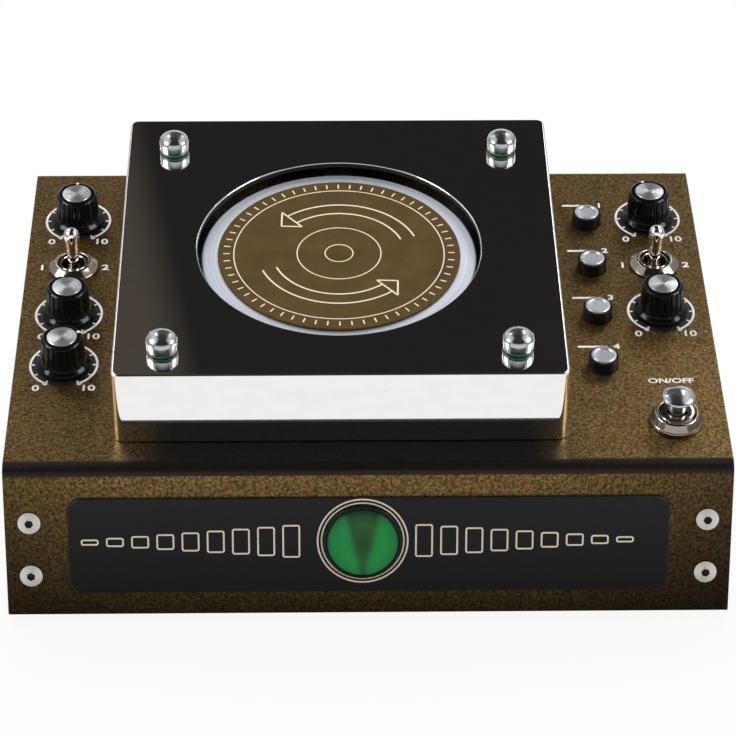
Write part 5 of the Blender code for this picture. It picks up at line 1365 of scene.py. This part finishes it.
def card(name, centre, towards, size, strength, stops, turn=0.0):
    """A card that only reflections see, graded across its width."""
    bm = bmesh.new()
    uv = bm.loops.layers.uv.new("UVMap")
    corners = ((-0.5, -0.5), (0.5, -0.5), (0.5, 0.5), (-0.5, 0.5))
    look = (Vector(towards) - Vector(centre)).normalized().to_track_quat("Z", "Y").to_matrix().to_4x4()
    place = Matrix.Translation(centre) @ look @ Matrix.Rotation(turn, 4, "Z")
    verts = [bm.verts.new(place @ Vector((u * size[0], v * size[1], 0))) for u, v in corners]
    for loop, (u, v) in zip(bm.faces.new(verts).loops, corners):
        loop[uv].uv = (u + 0.5, v + 0.5)
    obj = in_scene(name, mesh_of(name, bm))
    material, tree, shader = new_material(name, {})
    tree.nodes.remove(shader)
    flat = add_node(tree, "ShaderNodeTexCoord").outputs["UV"]
    across = add_node(tree, "ShaderNodeSeparateXYZ", {0: flat})
    tone = add_node(tree, "ShaderNodeValToRGB", {"Fac": across}, stops=stops)
    lit = add_node(tree, "ShaderNodeEmission", {"Color": tone, "Strength": strength})
    connect(tree, tree.nodes["Material Output"], {"Surface": lit})
    obj.data.materials.append(material)
    obj.visible_camera = obj.visible_diffuse = obj.visible_shadow = False


WHITE = ((0.0, "#ffffff"), (1.0, "#ffffff"))
FADING = ((0.0, "#858585"), (0.5, "#ffffff"), (1.0, "#858585"))
DIM_WALL = ((0.0, "#45403a"), (0.342, "#4a443d"), (0.376, "#242322"), (1.0, "#232221"))
DIM_WALL_DISTANCE, DIM_WALL_TURN = 0.9, math.radians(-12)
# The way in which the cover's top mirrors the camera's view
up_and_back = Vector((0, 0.522, 0.853))
cover_top = cover_place @ Vector((0, 0, COVER_HEIGHT))
wall_place = cover_top + up_and_back * DIM_WALL_DISTANCE
card("dim_wall_behind", wall_place, cover_top, (0.75, 0.5), 1.0, DIM_WALL, DIM_WALL_TURN)
for side, middle, width in ((-1, 0.1, 1.2), (1, 0.15, 1.3)):
    centre, towards = (side * 0.5, middle, 0.8), (0, middle, 0.8)
    card(f"white_card_{side + 1}", centre, towards, (1.6, width), 1.0, FADING, math.pi / 2)
    card(f"bright_card_{side + 1}", (side * 0.46, -0.13, 0.34), (0, 0, 0.06), (0.24, 0.22), 12.0, WHITE)

world = bpy.data.worlds.new("white_room")
bpy.context.scene.world = world
world.use_nodes = True
tree = world.node_tree
rays = add_node(tree, "ShaderNodeLightPath").outputs
shown = add_node(
    tree, "ShaderNodeMath", {0: rays["Is Camera Ray"], 1: rays["Is Transmission Ray"]}, operation="MAXIMUM"
)
way = add_node(tree, "ShaderNodeTexCoord").outputs["Generated"]
_, behind, rise = add_node(tree, "ShaderNodeSeparateXYZ", {0: way}).outputs
limits = {"From Min": IN_FRONT, "From Max": BESIDE, "To Min": WALL_TOP_BEFORE, "To Max": WALL_TOP}
wall_top = add_node(tree, "ShaderNodeMapRange", {"Value": behind, **limits})
ceiling = add_node(tree, "ShaderNodeMath", {0: wall_top, 1: FADE}, operation="ADD")
limits = {"From Min": wall_top, "From Max": ceiling, "To Min": 1.0, "To Max": DARK_ROOM}
mirrored = add_node(tree, "ShaderNodeMapRange", {"Value": rise, **limits}, interpolation_type="SMOOTHSTEP")
limits = {"Value": rays["Is Glossy Ray"], "To Min": FILL, "To Max": mirrored}
lighting = add_node(tree, "ShaderNodeMapRange", limits)
strength = add_node(tree, "ShaderNodeMapRange", {"Value": shown, "To Min": lighting, "To Max": 1.0})
connect(tree, tree.nodes["Background"], {"Color": (1, 1, 1, 1), "Strength": strength})

# Soft lamps: place, target, width, height and watts
for name, place, target, width, height, watts in (
    ("lamp_left", (-0.45, 0.56, 1.05), (0, 0, 0.06), 0.5, 0.4, 5.0),
    ("lamp_right", (0.45, 0.56, 1.05), (0, 0, 0.06), 0.5, 0.4, 4.3),
    ("lamp_near_left", (-0.24, 0.47, 1.03), (-0.1, -0.06, 0.08), 0.2, 0.2, 0.6),
    ("lamp_near_right", (0.22, 0.47, 1.03), (0.1, -0.06, 0.08), 0.2, 0.2, 0.6),
):
    lamp_data = bpy.data.lights.new(name, "AREA")
    lamp_data.shape = "RECTANGLE"
    lamp_data.size, lamp_data.size_y, lamp_data.energy = width, height, watts
    obj = in_scene(name, lamp_data)
    obj.location = place
    obj.rotation_euler = (Vector(target) - Vector(place)).to_track_quat("-Z", "Y").to_euler()

# Camera: a 143 mm view from the front, 21 degrees down, almost square to the case
CAMERA_PLACE = (-0.014433, -0.959034, 0.426287)
LENS_LENGTH, SENSOR_WIDTH = 142.793, 36.0
pitch, yaw, roll = math.radians(20.874), math.radians(0.919), math.radians(0.027)
forward = Vector((math.sin(yaw) * math.cos(pitch), math.cos(yaw) * math.cos(pitch), -math.sin(pitch)))
right = Vector((math.cos(yaw), -math.sin(yaw), 0))
up = right.cross(forward)
level_right = right * math.cos(roll) + up * math.sin(roll)
level_up = up * math.cos(roll) - right * math.sin(roll)
axes = Matrix((level_right, level_up, -forward)).transposed().to_4x4()
camera_data = bpy.data.cameras.new("camera")
camera_data.lens = LENS_LENGTH
camera_data.sensor_width = SENSOR_WIDTH
camera_data.clip_start = 0.01
camera = in_scene("camera", camera_data)
camera.matrix_world = Matrix.Translation(CAMERA_PLACE) @ axes
bpy.context.scene.camera = camera
bpy.context.scene.view_settings.view_transform = "Standard"
